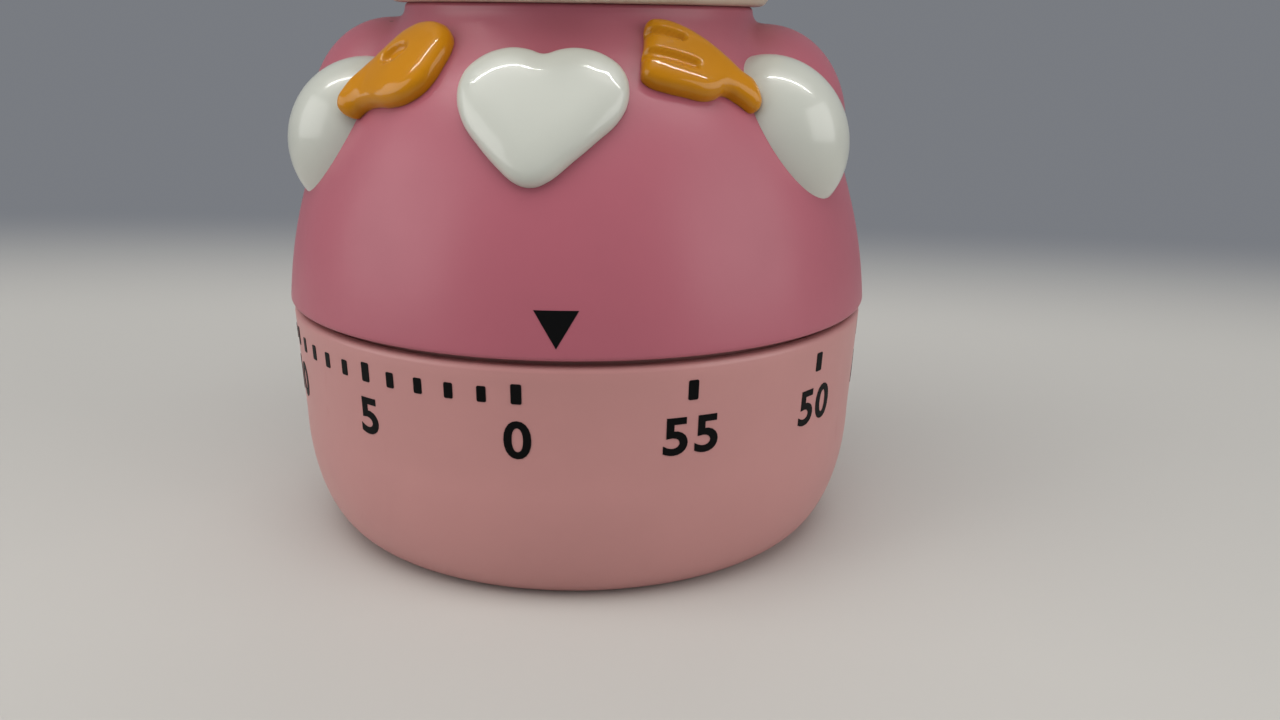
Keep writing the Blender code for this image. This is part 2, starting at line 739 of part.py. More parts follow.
def build_hammer():
    """A bent arm: a tail by the trip cam and an upright with the striking head."""
    pivot = hammer_places()["pivot"]
    upright = hammer_places()["upright"]
    to_upright = heading(pivot, upright)
    length = math.dist(pivot, upright)
    to_cam = heading(pivot, (0.0, 0.0))
    tail_length = HAMMER_REACH - 6.5 - 0.5
    boss = rod("hammer", 1.6, 15.9, 16.6, 12)
    pieces = []
    for angle, reach in ((to_upright, length), (to_cam, tail_length)):
        arm = flat_solid("arm", [bar_outline(0.0, reach, 0.55)], 16.0, 16.5)
        arm.data.transform(Matrix.Rotation(math.radians(angle), 4, "Z"))
        pieces.append(arm)
    tip = polar(length, to_upright)
    pieces.append(rod("upright", 0.7, 15.9, 23.4, 10, tip))
    pieces.append(rod("head", 1.4, 20.4, 23.2, 12, tip))
    hammer = combine("bell_hammer", boss, pieces, "UNION")
    hammer = combine("bell_hammer", hammer, [rod("bore", PIVOT_RADIUS + GAP, 15.0, 17.5, 10)],
                     "DIFFERENCE")
    set_on_axis(hammer, pivot, "steel")
    pin = rod("hammer_pin", PIVOT_RADIUS, LOWER_PLATE + 0.2, UPPER_PLATE + 0.6, 10)
    set_on_axis(pin, pivot, "steel")
    turns = [(*polar(1.15, 60.0 * index), 8.5 + 0.14 * index) for index in range(25)]
    coil = wire("hammer_spring", turns, 0.2, 0)
    set_on_axis(coil, pivot, "steel")


def bell_screw_places():
    return [polar(5.1, degrees) for degrees in (60.0, 180.0, 300.0)]


def build_bell():
    """The bell sits on a flanged hollow post, and a ring nut holds it down."""
    bore = WINDING_RADIUS + 0.5
    post = turned("bell_post", [
        (bore, 29.8), (3.4, 29.8), (3.4, 26.9), (4.8, 26.9), (4.8, 25.9), (3.4, 25.4),
        (3.4, 19.2), (6.8, 19.2), (6.8, 18.1), (bore, 18.1),
    ], 16, closed=True)
    link_part(post, "steel")
    cut_with(post, [rod("post_hole", SCREW_RADIUS + GAP, 17.0, 20.0, 10, place)
                    for place in bell_screw_places()])
    short = screw_mesh("bell_screw", 0.6, 1.2, 0.8, 2.2)
    place_screws("bell_screw", short, bell_screw_places(), 19.2 + GAP + 0.8, True, "steel")

    outside = []
    inside = []
    for degrees in (0.0, 18.0, 36.0, 54.0, 72.0, 84.0):
        swing = math.radians(degrees)
        radius = BELL_RADIUS * math.cos(swing) ** 0.55
        rise = math.sin(swing) * (BELL_TOP - BELL_RIM)
        outside.append((radius, BELL_RIM + rise))
        inside.append((radius - BELL_WALL * (1.0 - 0.4 * math.sin(swing)),
                       BELL_RIM + rise * (1.0 - BELL_WALL / (BELL_TOP - BELL_RIM))))
    hole = 3.4 + GAP
    profile = [(hole, BELL_TOP)] + outside[::-1] + inside + [(hole, BELL_TOP - BELL_WALL)]
    bell = turned("bell", profile, 28, closed=True)
    link_part(bell, "steel")
    smooth_round(bell)

    nut = flat_solid("bell_nut", [circle(5.6, 6), circle(3.4 + GAP, 16)], BELL_TOP + GAP, 29.6)
    link_part(nut, "brass")


# ---------------------------------------------------------------- turning body
def body_outside():
    """The dome's side from the neck down to the rim."""
    points = [(NECK_RADIUS, NECK_TOP)]
    for out, down in ((0.1, 0.6), (0.6, 1.7), (1.6, 3.0), (2.9, 4.6)):
        points.append((NECK_RADIUS + out, NECK_TOP - down))
    for radius in (23.5, 25.5, 27.3, 28.9):
        points.append((radius, dome_level(radius)))
    for level in (38.5, 34.5, 30.5, 27.5):
        points.append((dome_radius(level), level))
    points.append((dome_radius(DOME_RIM) - 0.15, DOME_RIM))
    return points


def body_inside(offset=-DOME_WALL):
    points = [(dome_radius(DOME_RIM, offset), DOME_RIM - 1.0)]
    for level in (30.5, 36.0, 41.0, 45.0):
        points.append((dome_radius(level, offset), level))
    for radius in (22.5, 19.0):
        points.append((radius, dome_level(radius, offset)))
    points.append((NECK_BORE, dome_level(17.0, offset)))
    points.append((NECK_BORE, NECK_TOP + 1.0))
    return points


def arm_placing(side):
    """Ellipsoid frame of an arm; side is -1 for the figure's right arm at -X."""
    x, y = front_polar(ARM_REACH, side * ARM_AZIMUTH)
    turn = Matrix.Rotation(math.radians(side * ARM_AZIMUTH - 90.0), 4, "Z")
    return Matrix.Translation((x, y, ARM_LEVEL)) @ turn


def hand_placing(side):
    x, y = front_polar(HAND_REACH, side * HAND_AZIMUTH)
    turn = Matrix.Rotation(math.radians(side * HAND_AZIMUTH - 90.0), 4, "Z")
    lean = Matrix.Rotation(math.radians(side * HAND_LEAN), 4, "X")
    return Matrix.Translation((x, y, HAND_LEVEL)) @ turn @ lean


def grown(size, by):
    return tuple(length + by for length in size)


def solid_dome(name, offset, low=DOME_RIM):
    """The dome without its neck as one closed solid, grown by an offset."""
    profile = [(0.0, DOME_CENTRE + DOME_HEIGHT + offset)]
    for radius in (8.0, 14.0, 18.0, 21.5, 23.5, 25.5, 27.3, 28.9):
        profile.append((radius, dome_level(radius, offset)))
    for level in (38.5, 34.5, 30.5, low):
        profile.append((dome_radius(level, offset), level))
    profile.append((0.0, low))
    return turned(name, profile)


def body_limit(name):
    """The body's outer form with its neck, grown by the gap that touching pieces keep."""
    side = [(radius + GAP, level + GAP * 0.7) for radius, level in body_outside()]
    return turned(name, [(0.0, side[0][1] + 1.0), (side[0][0], side[0][1] + 1.0)] + side[1:]
                  + [(0.0, side[-1][1])])


def arm_limits():
    return [ball("arm_limit", grown(ARM_SIZE, GAP), arm_placing(side)) for side in (-1.0, 1.0)]


def hand_limits():
    return [ball("hand_limit", grown(HAND_SIZE, GAP), hand_placing(side)) for side in (-1.0, 1.0)]


def drive_screw_places():
    return [polar(DRIVE_SCREW_PLACE, degrees) for degrees in (90.0, 210.0, 330.0)]


def build_body_shell():
    outside = turned("body_shell", [(0.0, NECK_TOP)] + body_outside() + [(0.0, DOME_RIM)])
    arms = [ball("arm", ARM_SIZE, arm_placing(side)) for side in (-1.0, 1.0)]
    shell = combine("body_shell", outside, arms, "UNION")
    hollow_profile = [(0.0, NECK_TOP + 1.0)] + body_inside()[::-1] + [(0.0, DOME_RIM - 1.0)]
    hollow = turned("hollow", hollow_profile)
    shell = combine("body_shell", shell, [hollow], "DIFFERENCE")
    bosses = []
    for place in drive_screw_places():
        bosses.append(rod("drive_boss", 2.6, DRIVE_TOP + GAP, 51.0, 12, place))
    shell = combine("body_shell", shell, bosses, "UNION")
    link_part(shell, "body_pink")
    cut_with(shell, [rod("drive_boss_bore", SCREW_RADIUS + GAP, 35.0, 42.0, 10, place)
                     for place in drive_screw_places()])
    smooth_round(shell)


def build_drive_plate():
    """A disc with a D-bored hub that carries the body on the winding arbor."""
    hub = turned("drive_plate", [
        (0.0, DRIVE_TOP), (DRIVE_RADIUS, DRIVE_TOP), (DRIVE_RADIUS, DRIVE_BOTTOM),
        (5.2, DRIVE_BOTTOM), (4.8, 30.9), (0.0, 30.9),
    ], 28)
    flat = [polar(WINDING_RADIUS + GAP, degrees) for degrees in range(40, 321, 28)]
    grown_flat = [(x + 0.08, y) for x, y in flat]
    socket = flat_solid("socket", [grown_flat], 30.0, DRIVE_TOP - 0.1 + 1.0)
    link_part(hub, "white_plastic")
    holes = [rod("drive_hole", SCREW_RADIUS + GAP, 34.0, 37.0, 10, place)
             for place in drive_screw_places()]
    cut_with(hub, [socket] + holes)
    screw = screw_mesh("drive_screw", SCREW_RADIUS, SCREW_HEAD_RADIUS, 1.2, 6.0)
    place_screws("drive_screw", screw, drive_screw_places(), DRIVE_BOTTOM - GAP - 1.2, False, "steel")


def relief(name, outline, place, finish, extra=0.0):
    """A flat outline wrapped on the dome as a raised piece."""
    frame = dome_frame(*place)
    prism = flat_solid(name, [outline], -6.0, 6.0)
    prism.data.transform(Matrix.Scale(MM, 4) @ frame @ Matrix.Scale(1.0 / MM, 4))
    piece = combine(name, prism, [solid_dome("outer_limit", RELIEF_THICKNESS + extra)], "INTERSECT")
    limits = [body_limit("inner_limit")] + arm_limits() + hand_limits()
    piece = combine(name, piece, limits, "DIFFERENCE")
    link_part(piece, finish)
    smooth_round(piece)


def heart_outline(steps=26):
    """The classic sine heart, widened to the wanted width and length."""
    points = []
    for index in range(steps):
        t = 2.0 * math.pi * index / steps
        x = 16.0 * math.sin(t) ** 3
        y = 13.0 * math.cos(t) - 5.0 * math.cos(2 * t) - 2.0 * math.cos(3 * t) - math.cos(4 * t)
        points.append((x * HEART_WIDTH / 32.0, (y + 2.4) * HEART_LENGTH / 29.0))
    return points[::-1]


def spoon_outline():
    """An oval bowl at the upper right and a short handle that widens to the hand."""
    return [
        (4.4, 0.6), (4.1, 2.6), (3.0, 4.0), (1.0, 4.7), (-1.0, 4.5), (-2.7, 3.4), (-3.9, 1.8),
        (-4.8, 0.3), (-5.8, -0.9), (-6.5, -1.9), (-6.6, -3.2), (-5.9, -4.5), (-4.9, -5.2),
        (-3.4, -4.8), (-1.8, -4.5), (0.3, -4.5), (2.2, -3.9), (3.7, -2.5), (4.3, -1.0),
    ]


def fork_outline():
    """Three tines towards the upper left, a waisted neck and a handle to the hand."""
    return [
        (-4.9, -1.2), (-4.4, -2.0), (-3.2, -2.7), (-1.2, -3.4), (0.6, -3.9), (1.9, -3.7),
        (3.0, -3.3), (4.8, -4.0), (5.8, -4.4), (6.4, -3.0), (6.2, -1.4), (4.2, 0.0), (2.7, 1.7),
        (1.1, 3.1), (-0.7, 4.2), (-2.3, 4.5), (-2.8, 3.9), (-3.4, 2.6), (-4.1, 1.2), (-4.7, -0.4),
    ]


def build_hands():
    for name, side in (("right_hand", -1.0), ("left_hand", 1.0)):
        hand = ball(name, HAND_SIZE, hand_placing(side), 18, 12)
        hand = combine(name, hand, [body_limit("dome_limit")] + arm_limits(), "DIFFERENCE")
        link_part(hand, "white_gloss")
        smooth_round(hand)


# ---------------------------------------------------------------- head
def build_head():
    """A plain cub's head: hollow, open at the neck, with round ears and a muzzle."""
    here = Matrix.Translation((0.0, 0.0, HEAD_CENTRE))
    skull = ball("head_shell", HEAD_SIZE, here, 26, 14)
    flat_cut = block("flat_cut", (80.0, 80.0, 20.0), (0.0, 0.0, HEAD_BOTTOM - 10.0))
    skull = combine("head_shell", skull, [flat_cut], "DIFFERENCE")
    added = [rod("plug", HEAD_PLUG_RADIUS, HEAD_PLUG_BOTTOM, HEAD_BOTTOM + 3.0, 32)]
    for side in (-1.0, 1.0):
        ear = Matrix.Translation((side * EAR_PLACE[0], EAR_PLACE[1], EAR_PLACE[2]))
        ear = ear @ Matrix.Rotation(math.radians(side * 24.0), 4, "Y")
        added.append(ball("ear", (EAR_RADIUS, 3.4, EAR_RADIUS), ear, 16, 10))
    skull = combine("head_shell", skull, added, "UNION")
    room = ball("head_room", grown(HEAD_SIZE, -HEAD_WALL), here, 20, 12)
    bore = rod("head_bore", HEAD_PLUG_RADIUS - HEAD_WALL, HEAD_PLUG_BOTTOM - 1.0, 66.0, 24)
    link_part(skull, "cream")
    cut_with(skull, [room, bore])
    smooth_round(skull)


def head_surface_y(x, z, growth=0.0):
    """Front of the head's ellipsoid at a place, as a Y value."""
    wide, deep, tall = grown(HEAD_SIZE, growth)
    share = 1.0 - (x / wide) ** 2 - ((z - HEAD_CENTRE) / tall) ** 2
    return -deep * math.sqrt(max(0.0, share))


def build_face():
    """Muzzle, nose and two bead eyes in a calm, plain arrangement."""
    limit_size = grown(HEAD_SIZE, GAP)
    here = Matrix.Translation((0.0, 0.0, HEAD_CENTRE))
    muzzle_z = HEAD_CENTRE - 5.5
    muzzle_y = head_surface_y(0.0, muzzle_z) + 1.2
    placing = Matrix.Translation((0.0, muzzle_y, muzzle_z))
    muzzle = ball("muzzle", (7.4, 4.6, 5.4), placing, 18, 11)
    muzzle = combine("muzzle", muzzle, [ball("limit", limit_size, here, 26, 14)], "DIFFERENCE")
    link_part(muzzle, "cream")
    smooth_round(muzzle)

    nose_z = muzzle_z + 2.3
    nose_y = muzzle_y - 4.3
    nose = ball("nose", (2.4, 1.5, 1.7), Matrix.Translation((0.0, nose_y, nose_z)), 12, 8)
    limit = ball("limit", grown((7.4, 4.6, 5.4), GAP), placing, 18, 11)
    nose = combine("nose", nose, [limit], "DIFFERENCE")
    link_part(nose, "black_gloss")

    for name, side in (("right_eye", -1.0), ("left_eye", 1.0)):
        x, z = side * 9.0, HEAD_CENTRE + 1.5
        y = head_surface_y(x, z) + 0.1
        eye = ball(name, (1.7, 1.4, 2.1), Matrix.Translation((x, y, z)), 12, 8)
        eye = combine(name, eye, [ball("limit", limit_size, here, 26, 14)], "DIFFERENCE")
        link_part(eye, "black_gloss")


# ---------------------------------------------------------------- build
clear_scene()
PARTS = new_collection("kitchen_timer")
CUTTERS = new_collection("cutters")

build_base_shell()
build_plates()
build_pillars()
build_plate_screws()
build_winding_work()
build_mainspring()
build_train()
build_lever()
build_balance()
build_hammer()
build_bell()
build_body_shell()
build_drive_plate()
relief("heart", heart_outline(), HEART_PLACE, "white_gloss", 0.3)
relief("spoon", spoon_outline(), SPOON_PLACE, "gold_paint")
relief("fork", fork_outline(), FORK_PLACE, "gold_paint")
build_hands()
build_head()
build_face()
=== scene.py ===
"""Wind-up kitchen timer: a cub-headed figure that turns on a fixed, numbered base.

Run as a script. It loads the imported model, makes every visible piece round it, and
gives the movement's own parts their metal and plastic finishes.
Sizes in the functions are millimetres unless a name says otherwise.
"""
import math

import bmesh
import bpy
import numpy as np
from bpy.props import FloatProperty, FloatVectorProperty, IntProperty, PointerProperty
from bpy.types import Operator, Panel, PropertyGroup
from mathutils import Matrix, Vector


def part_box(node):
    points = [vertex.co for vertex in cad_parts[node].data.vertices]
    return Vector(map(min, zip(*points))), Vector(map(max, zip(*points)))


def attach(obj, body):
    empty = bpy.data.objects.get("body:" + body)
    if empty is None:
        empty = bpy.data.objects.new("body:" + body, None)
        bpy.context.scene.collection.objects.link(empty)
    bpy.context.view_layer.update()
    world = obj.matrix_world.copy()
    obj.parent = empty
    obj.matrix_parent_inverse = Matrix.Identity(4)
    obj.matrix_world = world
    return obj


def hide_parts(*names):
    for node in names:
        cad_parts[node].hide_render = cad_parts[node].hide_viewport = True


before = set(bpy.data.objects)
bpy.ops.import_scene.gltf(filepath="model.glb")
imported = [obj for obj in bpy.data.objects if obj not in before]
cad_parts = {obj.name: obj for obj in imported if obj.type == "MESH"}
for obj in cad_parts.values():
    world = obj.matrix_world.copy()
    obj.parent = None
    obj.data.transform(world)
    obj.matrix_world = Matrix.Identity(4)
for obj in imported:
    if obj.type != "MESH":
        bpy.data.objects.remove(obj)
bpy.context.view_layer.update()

bl_info = {
    "name": "Wind-up Kitchen Timer",
    "version": (1, 0, 0),
    "blender": (4, 5, 0),
    "location": "3D Viewport > Sidebar > Kitchen Timer",
    "description": "Builds the shells, dial, figure and finishes of a wind-up kitchen timer",
    "category": "Object",
}

MM = 0.001
SHELL_STEPS = 224
SMOOTH_ANGLE = math.radians(38.0)


# ---------------------------------------------------------------- settings
def length(name, text, millimetres):
    return FloatProperty(name=name, description=text, default=millimetres * MM, unit="LENGTH",
                         precision=5)


def angle(name, text, degrees):
    return FloatProperty(name=name, description=text, default=math.radians(degrees),
                         unit="ROTATION")


def number(name, text, value):
    return FloatProperty(name=name, description=text, default=value)


def power(name, text, watts):
    return FloatProperty(name=name, description=text, default=watts, unit="POWER")


def colour(name, text, value):
    return FloatVectorProperty(name=name, description=text, default=(*value, 1.0), size=4,
                               subtype="COLOR", min=0.0, max=1.0)


class TimerBodySizes(PropertyGroup):
    """The turning body: a superellipse dome with a neck and two moulded arms."""

    dome_radius: length("Dome radius", "Widest radius of the dome's curve", 32.3)
    dome_height: length("Dome height", "Half height of the dome's curve", 41.0)
    dome_centre: length("Dome centre", "Level of the dome curve's centre", 19.8)
    dome_power: number("Dome power", "Squareness of the dome's curve", 2.2)
    rim_level: length("Rim level", "Level of the dome's lower rim", 25.65)
    wall: length("Wall", "Wall of the dome", 2.0)
    neck_radius: length("Neck radius", "Outer radius of the neck", 18.6)
    neck_top: length("Neck top", "Level of the neck's upper edge", 56.6)
    neck_bore: length("Neck bore", "Inner radius of the neck", 15.8)
    neck_foot: length("Neck foot", "Radius where the neck's sweep meets the dome", 23.4)
    arm_azimuth: angle("Arm azimuth", "Angle of each arm from the front", 83.5)
    arm_reach: length("Arm reach", "Distance of an arm's middle from the axis", 20.4)
    arm_level: length("Arm level", "Level of an arm's middle", 44.8)
    arm_lean: angle("Arm lean", "Sideways lean of an arm", 2.0)
    arm_tilt: length("Arm tilt", "How much higher the right arm sits than the middle", 0.1)
    crease: length("Crease", "Softness of the crease round an arm", 0.9)


class TimerBaseSizes(PropertyGroup):
    """The fixed base: a cup with a rounded lower corner and a flared side."""

    height: length("Height", "Level of the rim", 25.0)
    rim_radius: length("Rim radius", "Outer radius at the rim", 31.8)
    taper: number("Taper", "Outward lean of the side, as a slope", 0.054)
    corner_width: length("Corner width", "Width of the elliptical lower corner", 5.73)
    corner_height: length("Corner height", "Height of the elliptical lower corner", 13.33)
    wall: length("Wall", "Wall of the cup", 1.8)
    collar_radius: length("Collar radius", "Outer radius of the upright collar", 29.4)
    collar_top: length("Collar top", "Level of the collar's upper edge", 28.6)


class TimerDialSizes(PropertyGroup):
    """The printed minute scale and the pointer."""

    zero_azimuth: angle("Zero azimuth", "Angle of the zero mark from the front", -3.3)
    mark_foot: length("Mark foot", "Level of the marks' lower ends", 21.4)
    bar_width: length("Bar width", "Width of a five-minute bar", 1.02)
    bar_height: length("Bar height", "Height of a five-minute bar", 1.95)
    mark_width: length("Mark width", "Width of a minute mark", 0.9)
    mark_height: length("Mark height", "Height of a minute mark", 1.55)
    digit_top: length("Digit top", "Level of the digits' upper ends", 19.75)
    digit_height: length("Digit height", "Height of the digits", 3.8)
    ink: length("Ink", "Thickness of the print", 0.05)
    last_minute: IntProperty(name="Last minute mark", default=15, min=5, max=60,
                             description="Single minutes are marked from zero to here")
    pointer_azimuth: angle("Pointer azimuth", "Angle of the pointer from the front", 3.45)
    pointer_low: length("Pointer tip", "Level of the pointer's tip", 26.85)
    pointer_high: length("Pointer top", "Level of the pointer's upper edge", 30.3)
    pointer_width: length("Pointer width", "Width of the pointer's upper edge", 4.1)


class TimerFigureSizes(PropertyGroup):
    """The raised shapes on the chest, the hands and the head."""

    hand_azimuth: angle("Hand azimuth", "Angle of each hand from the front", 62.7)
    hand_reach: length("Hand reach", "Distance of a hand's middle from the axis", 23.3)
    hand_level: length("Hand level", "Level of a hand's middle", 43.2)
    hand_lean: angle("Hand lean", "Sideways lean of a hand", 15.0)
    hand_tilt: length("Hand tilt", "How much lower the right hand sits than the middle", 0.4)
    heart_rise: length("Heart rise", "Height of the heart above the chest", 1.9)
    tool_rise: length("Tool rise", "Height of the spoon and fork above the chest", 1.8)
    head_centre: length("Head centre", "Level of the head's middle", 70.9)
    head_bottom: length("Head bottom", "Level of the head's lower edge", 56.62)
    head_power: number("Head power", "Squareness of the head's curve", 2.25)


class TimerColours(PropertyGroup):
    """Colours of every finish, as linear values."""

    body: colour("Body", "Satin rose plastic of the turning body", (0.434, 0.119, 0.158))
    base: colour("Base", "Paler rose plastic of the base", (0.535, 0.250, 0.240))
    white: colour("White", "Gloss white paint of the heart and hands", (0.585, 0.60, 0.535))
    ochre: colour("Ochre", "Gloss ochre paint of the spoon and fork", (0.575, 0.228, 0.001))
    cream: colour("Cream", "Cream plastic of the head", (0.62, 0.55, 0.42))
    blush: colour("Blush", "Inner ears", (0.62, 0.33, 0.28))
    ink: colour("Ink", "Black print", (0.003, 0.003, 0.0032))
    bead: colour("Bead", "Gloss black of the eyes and nose", (0.010, 0.009, 0.009))
    nylon: colour("Nylon", "Natural plastic of the drive plate", (0.62, 0.60, 0.54))
    steel: colour("Steel", "Plated steel", (0.46, 0.47, 0.48))
    bell: colour("Bell", "Polished bell steel", (0.62, 0.62, 0.61))
    spring: colour("Spring", "Blued spring steel", (0.16, 0.18, 0.24))
    brass: colour("Brass", "Rolled brass", (0.72, 0.48, 0.17))
    floor: colour("Floor", "Pale floor", (0.575, 0.562, 0.53))


class TimerStageSizes(PropertyGroup):
    """Camera and lights."""

    camera_distance: length("Camera distance", "Camera's distance from the axis", 133.55)
    camera_level: length("Camera level", "Camera's height above the floor", 55.5)
    camera_turn: angle("Camera turn", "How far round the object the camera stands", 7.34)
    camera_yaw: angle("Camera yaw", "How far the camera looks past the axis", 3.02)
    camera_pitch: angle("Camera pitch", "How far the camera looks down", 16.24)
    camera_roll: angle("Camera roll", "Sideways tip of the camera", 0.8)
    camera_lens: number("Camera lens", "Focal length on a 36 mm wide sensor", 33.17)
    key_power: power("Key power", "Power of the overhead softbox", 2.1)
    side_power: power("Side power", "Power of each side softbox", 1.45)
    tube_power: power("Tube power", "Power of the long tube lamp", 2.4)


class TimerSettings(PropertyGroup):
    """Everything a maker would change."""

    body: PointerProperty(type=TimerBodySizes)
    base: PointerProperty(type=TimerBaseSizes)
    dial: PointerProperty(type=TimerDialSizes)
    figure: PointerProperty(type=TimerFigureSizes)
    colours: PointerProperty(type=TimerColours)
    stage: PointerProperty(type=TimerStageSizes)


def settings():
    return bpy.context.scene.kitchen_timer


# ---------------------------------------------------------------- mesh helpers
def to_object(name, mesh):
    thing = bpy.data.objects.new(name, mesh)
    bpy.context.scene.collection.objects.link(thing)
    return thing


def smooth(thing):
    thing.data.shade_smooth()
    thing.data.set_sharp_from_angle(angle=SMOOTH_ANGLE)
    return thing


def from_bmesh(name, shape, merge=2e-6):
    """A mesh object with its doubles merged and its faces turned outwards."""
    bmesh.ops.remove_doubles(shape, verts=shape.verts, dist=merge)
    flat = [face for face in shape.faces if face.calc_area() < 1e-14]
    bmesh.ops.delete(shape, geom=flat, context="FACES_ONLY")
    bmesh.ops.recalc_face_normals(shape, faces=shape.faces)
    mesh = bpy.data.meshes.new(name)
    shape.to_mesh(mesh)
    shape.free()
    return to_object(name, mesh)


def surface(name, rings, closed):
    """Rings of points, each ring once round, joined by quads; all in millimetres."""
    count, steps = rings.shape[0], rings.shape[1]
    shape = bmesh.new()
    verts = [shape.verts.new(point) for point in (rings.reshape(-1, 3) * MM).tolist()]
    for row in range(count if closed else count - 1):
        below = ((row + 1) % count) * steps
        above = row * steps
        for step in range(steps):
            after = (step + 1) % steps
            shape.faces.new((verts[above + step], verts[above + after],
                             verts[below + after], verts[below + step]))
    return from_bmesh(name, shape)


def ring_points(outline, steps):
    """An outline of (radius, level) turned round the axis: rings x steps x 3."""
    outline = np.array(outline, float)
    turns = 2.0 * np.pi * np.arange(steps) / steps
    radius = outline[:, 0, None]
    return np.stack([radius * np.sin(turns), -radius * np.cos(turns),
                     np.repeat(outline[:, 1, None], steps, axis=1)], axis=2)


def turned(name, outline, steps=SHELL_STEPS):
    """A form turned from an outline that starts and ends on the axis."""
    return smooth(surface(name, ring_points(outline, steps), False))


def arc(centre, radius, start, end, count):
    """Points of an arc; angles in degrees, anticlockwise from outwards."""
    points = []
    for index in range(count + 1):
        turn = math.radians(start + (end - start) * index / count)
        points.append((centre[0] + radius * math.cos(turn), centre[1] + radius * math.sin(turn)))
    return points


def curve_points(start, pull_a, pull_b, end, count):
    """Points along a cubic curve, without its first."""
    corners = np.array((start, pull_a, pull_b, end), float)
    points = []
    for index in range(1, count + 1):
        t = index / count
        shares = ((1 - t) ** 3, 3 * t * (1 - t) ** 2, 3 * t * t * (1 - t), t**3)
        points.append(tuple(sum(share * corner for share, corner in zip(shares, corners))))
    return points


def evaluated_mesh(thing):
    bpy.context.view_layer.update()
    graph = bpy.context.evaluated_depsgraph_get()
    return bpy.data.meshes.new_from_object(thing.evaluated_get(graph))


def curve_shape(curve):
    """The filled or bevelled form of a curve or a text, as an editable mesh."""
    holder = to_object(curve.name, curve)
    mesh = evaluated_mesh(holder)
    bpy.data.objects.remove(holder, do_unlink=True)
    shape = bmesh.new()
    shape.from_mesh(mesh)
    bpy.data.meshes.remove(mesh)
    return shape


def prism(ends):
    """A closed form between two like rings of points."""
    shape = bmesh.new()
    rings = [[shape.verts.new(point) for point in end] for end in ends]
    for ring in rings:
        shape.faces.new(ring)
    count = len(rings[0])
    for index in range(count):
        after = (index + 1) % count
        shape.faces.new((rings[0][index], rings[0][after], rings[1][after], rings[1][index]))
    return shape


def apply_modifiers(thing):
    """Swap the mesh for what its modifiers make, and take them off."""
    made = evaluated_mesh(thing)
    thing.modifiers.clear()
    old = thing.data
    thing.data = made
    if isinstance(old, bpy.types.Mesh):
        bpy.data.meshes.remove(old)
    return thing


def boolean(target, other, operation):
    """Cut or add another form, which is removed."""
    step = target.modifiers.new(operation.title(), "BOOLEAN")
    step.operation = operation
    step.solver = "EXACT"
    step.object = other
    apply_modifiers(target)
    bpy.data.objects.remove(other, do_unlink=True)
    return target


def join(name, things):
    """One object from several, which are removed."""
    shape = bmesh.new()
    for thing in things:
        shape.from_mesh(thing.data)
        bpy.data.objects.remove(thing, do_unlink=True)
    mesh = bpy.data.meshes.new(name)
    shape.to_mesh(mesh)
    shape.free()
    return to_object(name, mesh)


def ellipsoid(name, half, placing, columns=72, rows=44):
    """Half-axes and a placing matrix in millimetres."""
    shape = bmesh.new()
    bmesh.ops.create_uvsphere(shape, u_segments=columns, v_segments=rows, radius=1.0)
    shape.transform(Matrix.Scale(MM, 4) @ placing @ Matrix.Diagonal((*half, 1.0)))
    return smooth(from_bmesh(name, shape))


def soften(thing, voxel, rounds):
    """Remesh a closed form evenly and smooth it; the voxel is in millimetres."""
    thing.data.transform(Matrix.Scale(1.0 / MM, 4))
    step = thing.modifiers.new("Even", "REMESH")
    step.mode = "VOXEL"
    step.voxel_size = voxel
    apply_modifiers(thing)
    shape = bmesh.new()
    shape.from_mesh(thing.data)
    for _ in range(rounds):
        bmesh.ops.smooth_vert(shape, verts=shape.verts, factor=0.5, use_axis_x=True,
                              use_axis_y=True, use_axis_z=True)
    shape.to_mesh(thing.data)
    shape.free()
    thing.data.transform(Matrix.Scale(MM, 4))
    thing.data.shade_smooth()
    return thing


def ridge(value, softness):
    """The larger of a value and zero, with a soft corner."""
    return (value + np.sqrt(value * value + softness * softness)) / 2.0


def place_piece(thing, body, slot, material, *nodes):
    """Give a finished piece its material and its body, and hide the model parts it stands for; the
    slot is not used.
    """
    thing.data.materials.clear()
    thing.data.materials.append(finish(material))
    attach(thing, body)
    if nodes:
        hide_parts(*nodes)
    return thing


# ---------------------------------------------------------------- form rules
def mm(value):
    """Metres to millimetres."""
    return value / MM


def polar_front(radius, turn):
    """Plan position at an angle from the front (-Y), in radians, positive towards +X."""
    return radius * math.sin(turn), -radius * math.cos(turn)


def base_radius(level):
    sizes = settings().base
    height, corner = mm(sizes.height), mm(sizes.corner_height)
    if level >= corner:
        return mm(sizes.rim_radius) - sizes.taper * (height - level)
    side = mm(sizes.rim_radius) - sizes.taper * (height - corner)
    drop = (corner - level) / corner
    return side - mm(sizes.corner_width) * (1.0 - math.sqrt(max(0.0, 1.0 - drop * drop)))


def dome_curve():
    """The dome curve's half width, half height, middle level and power."""
    sizes = settings().body
    return mm(sizes.dome_radius), mm(sizes.dome_height), mm(sizes.dome_centre), sizes.dome_power


def dome_radius(level, offset=0.0):
    """Radius of the dome at a level; the offset makes the whole curve larger."""
    wide, tall, centre, power = dome_curve()
    share = abs(level - centre) / (tall + offset)
    return (wide + offset) * (1.0 - min(1.0, share) ** power) ** (1.0 / power)


def dome_level(radius, offset=0.0):
    wide, tall, centre, power = dome_curve()
    share = min(1.0, radius / (wide + offset))
    return centre + (tall + offset) * (1.0 - share**power) ** (1.0 / power)


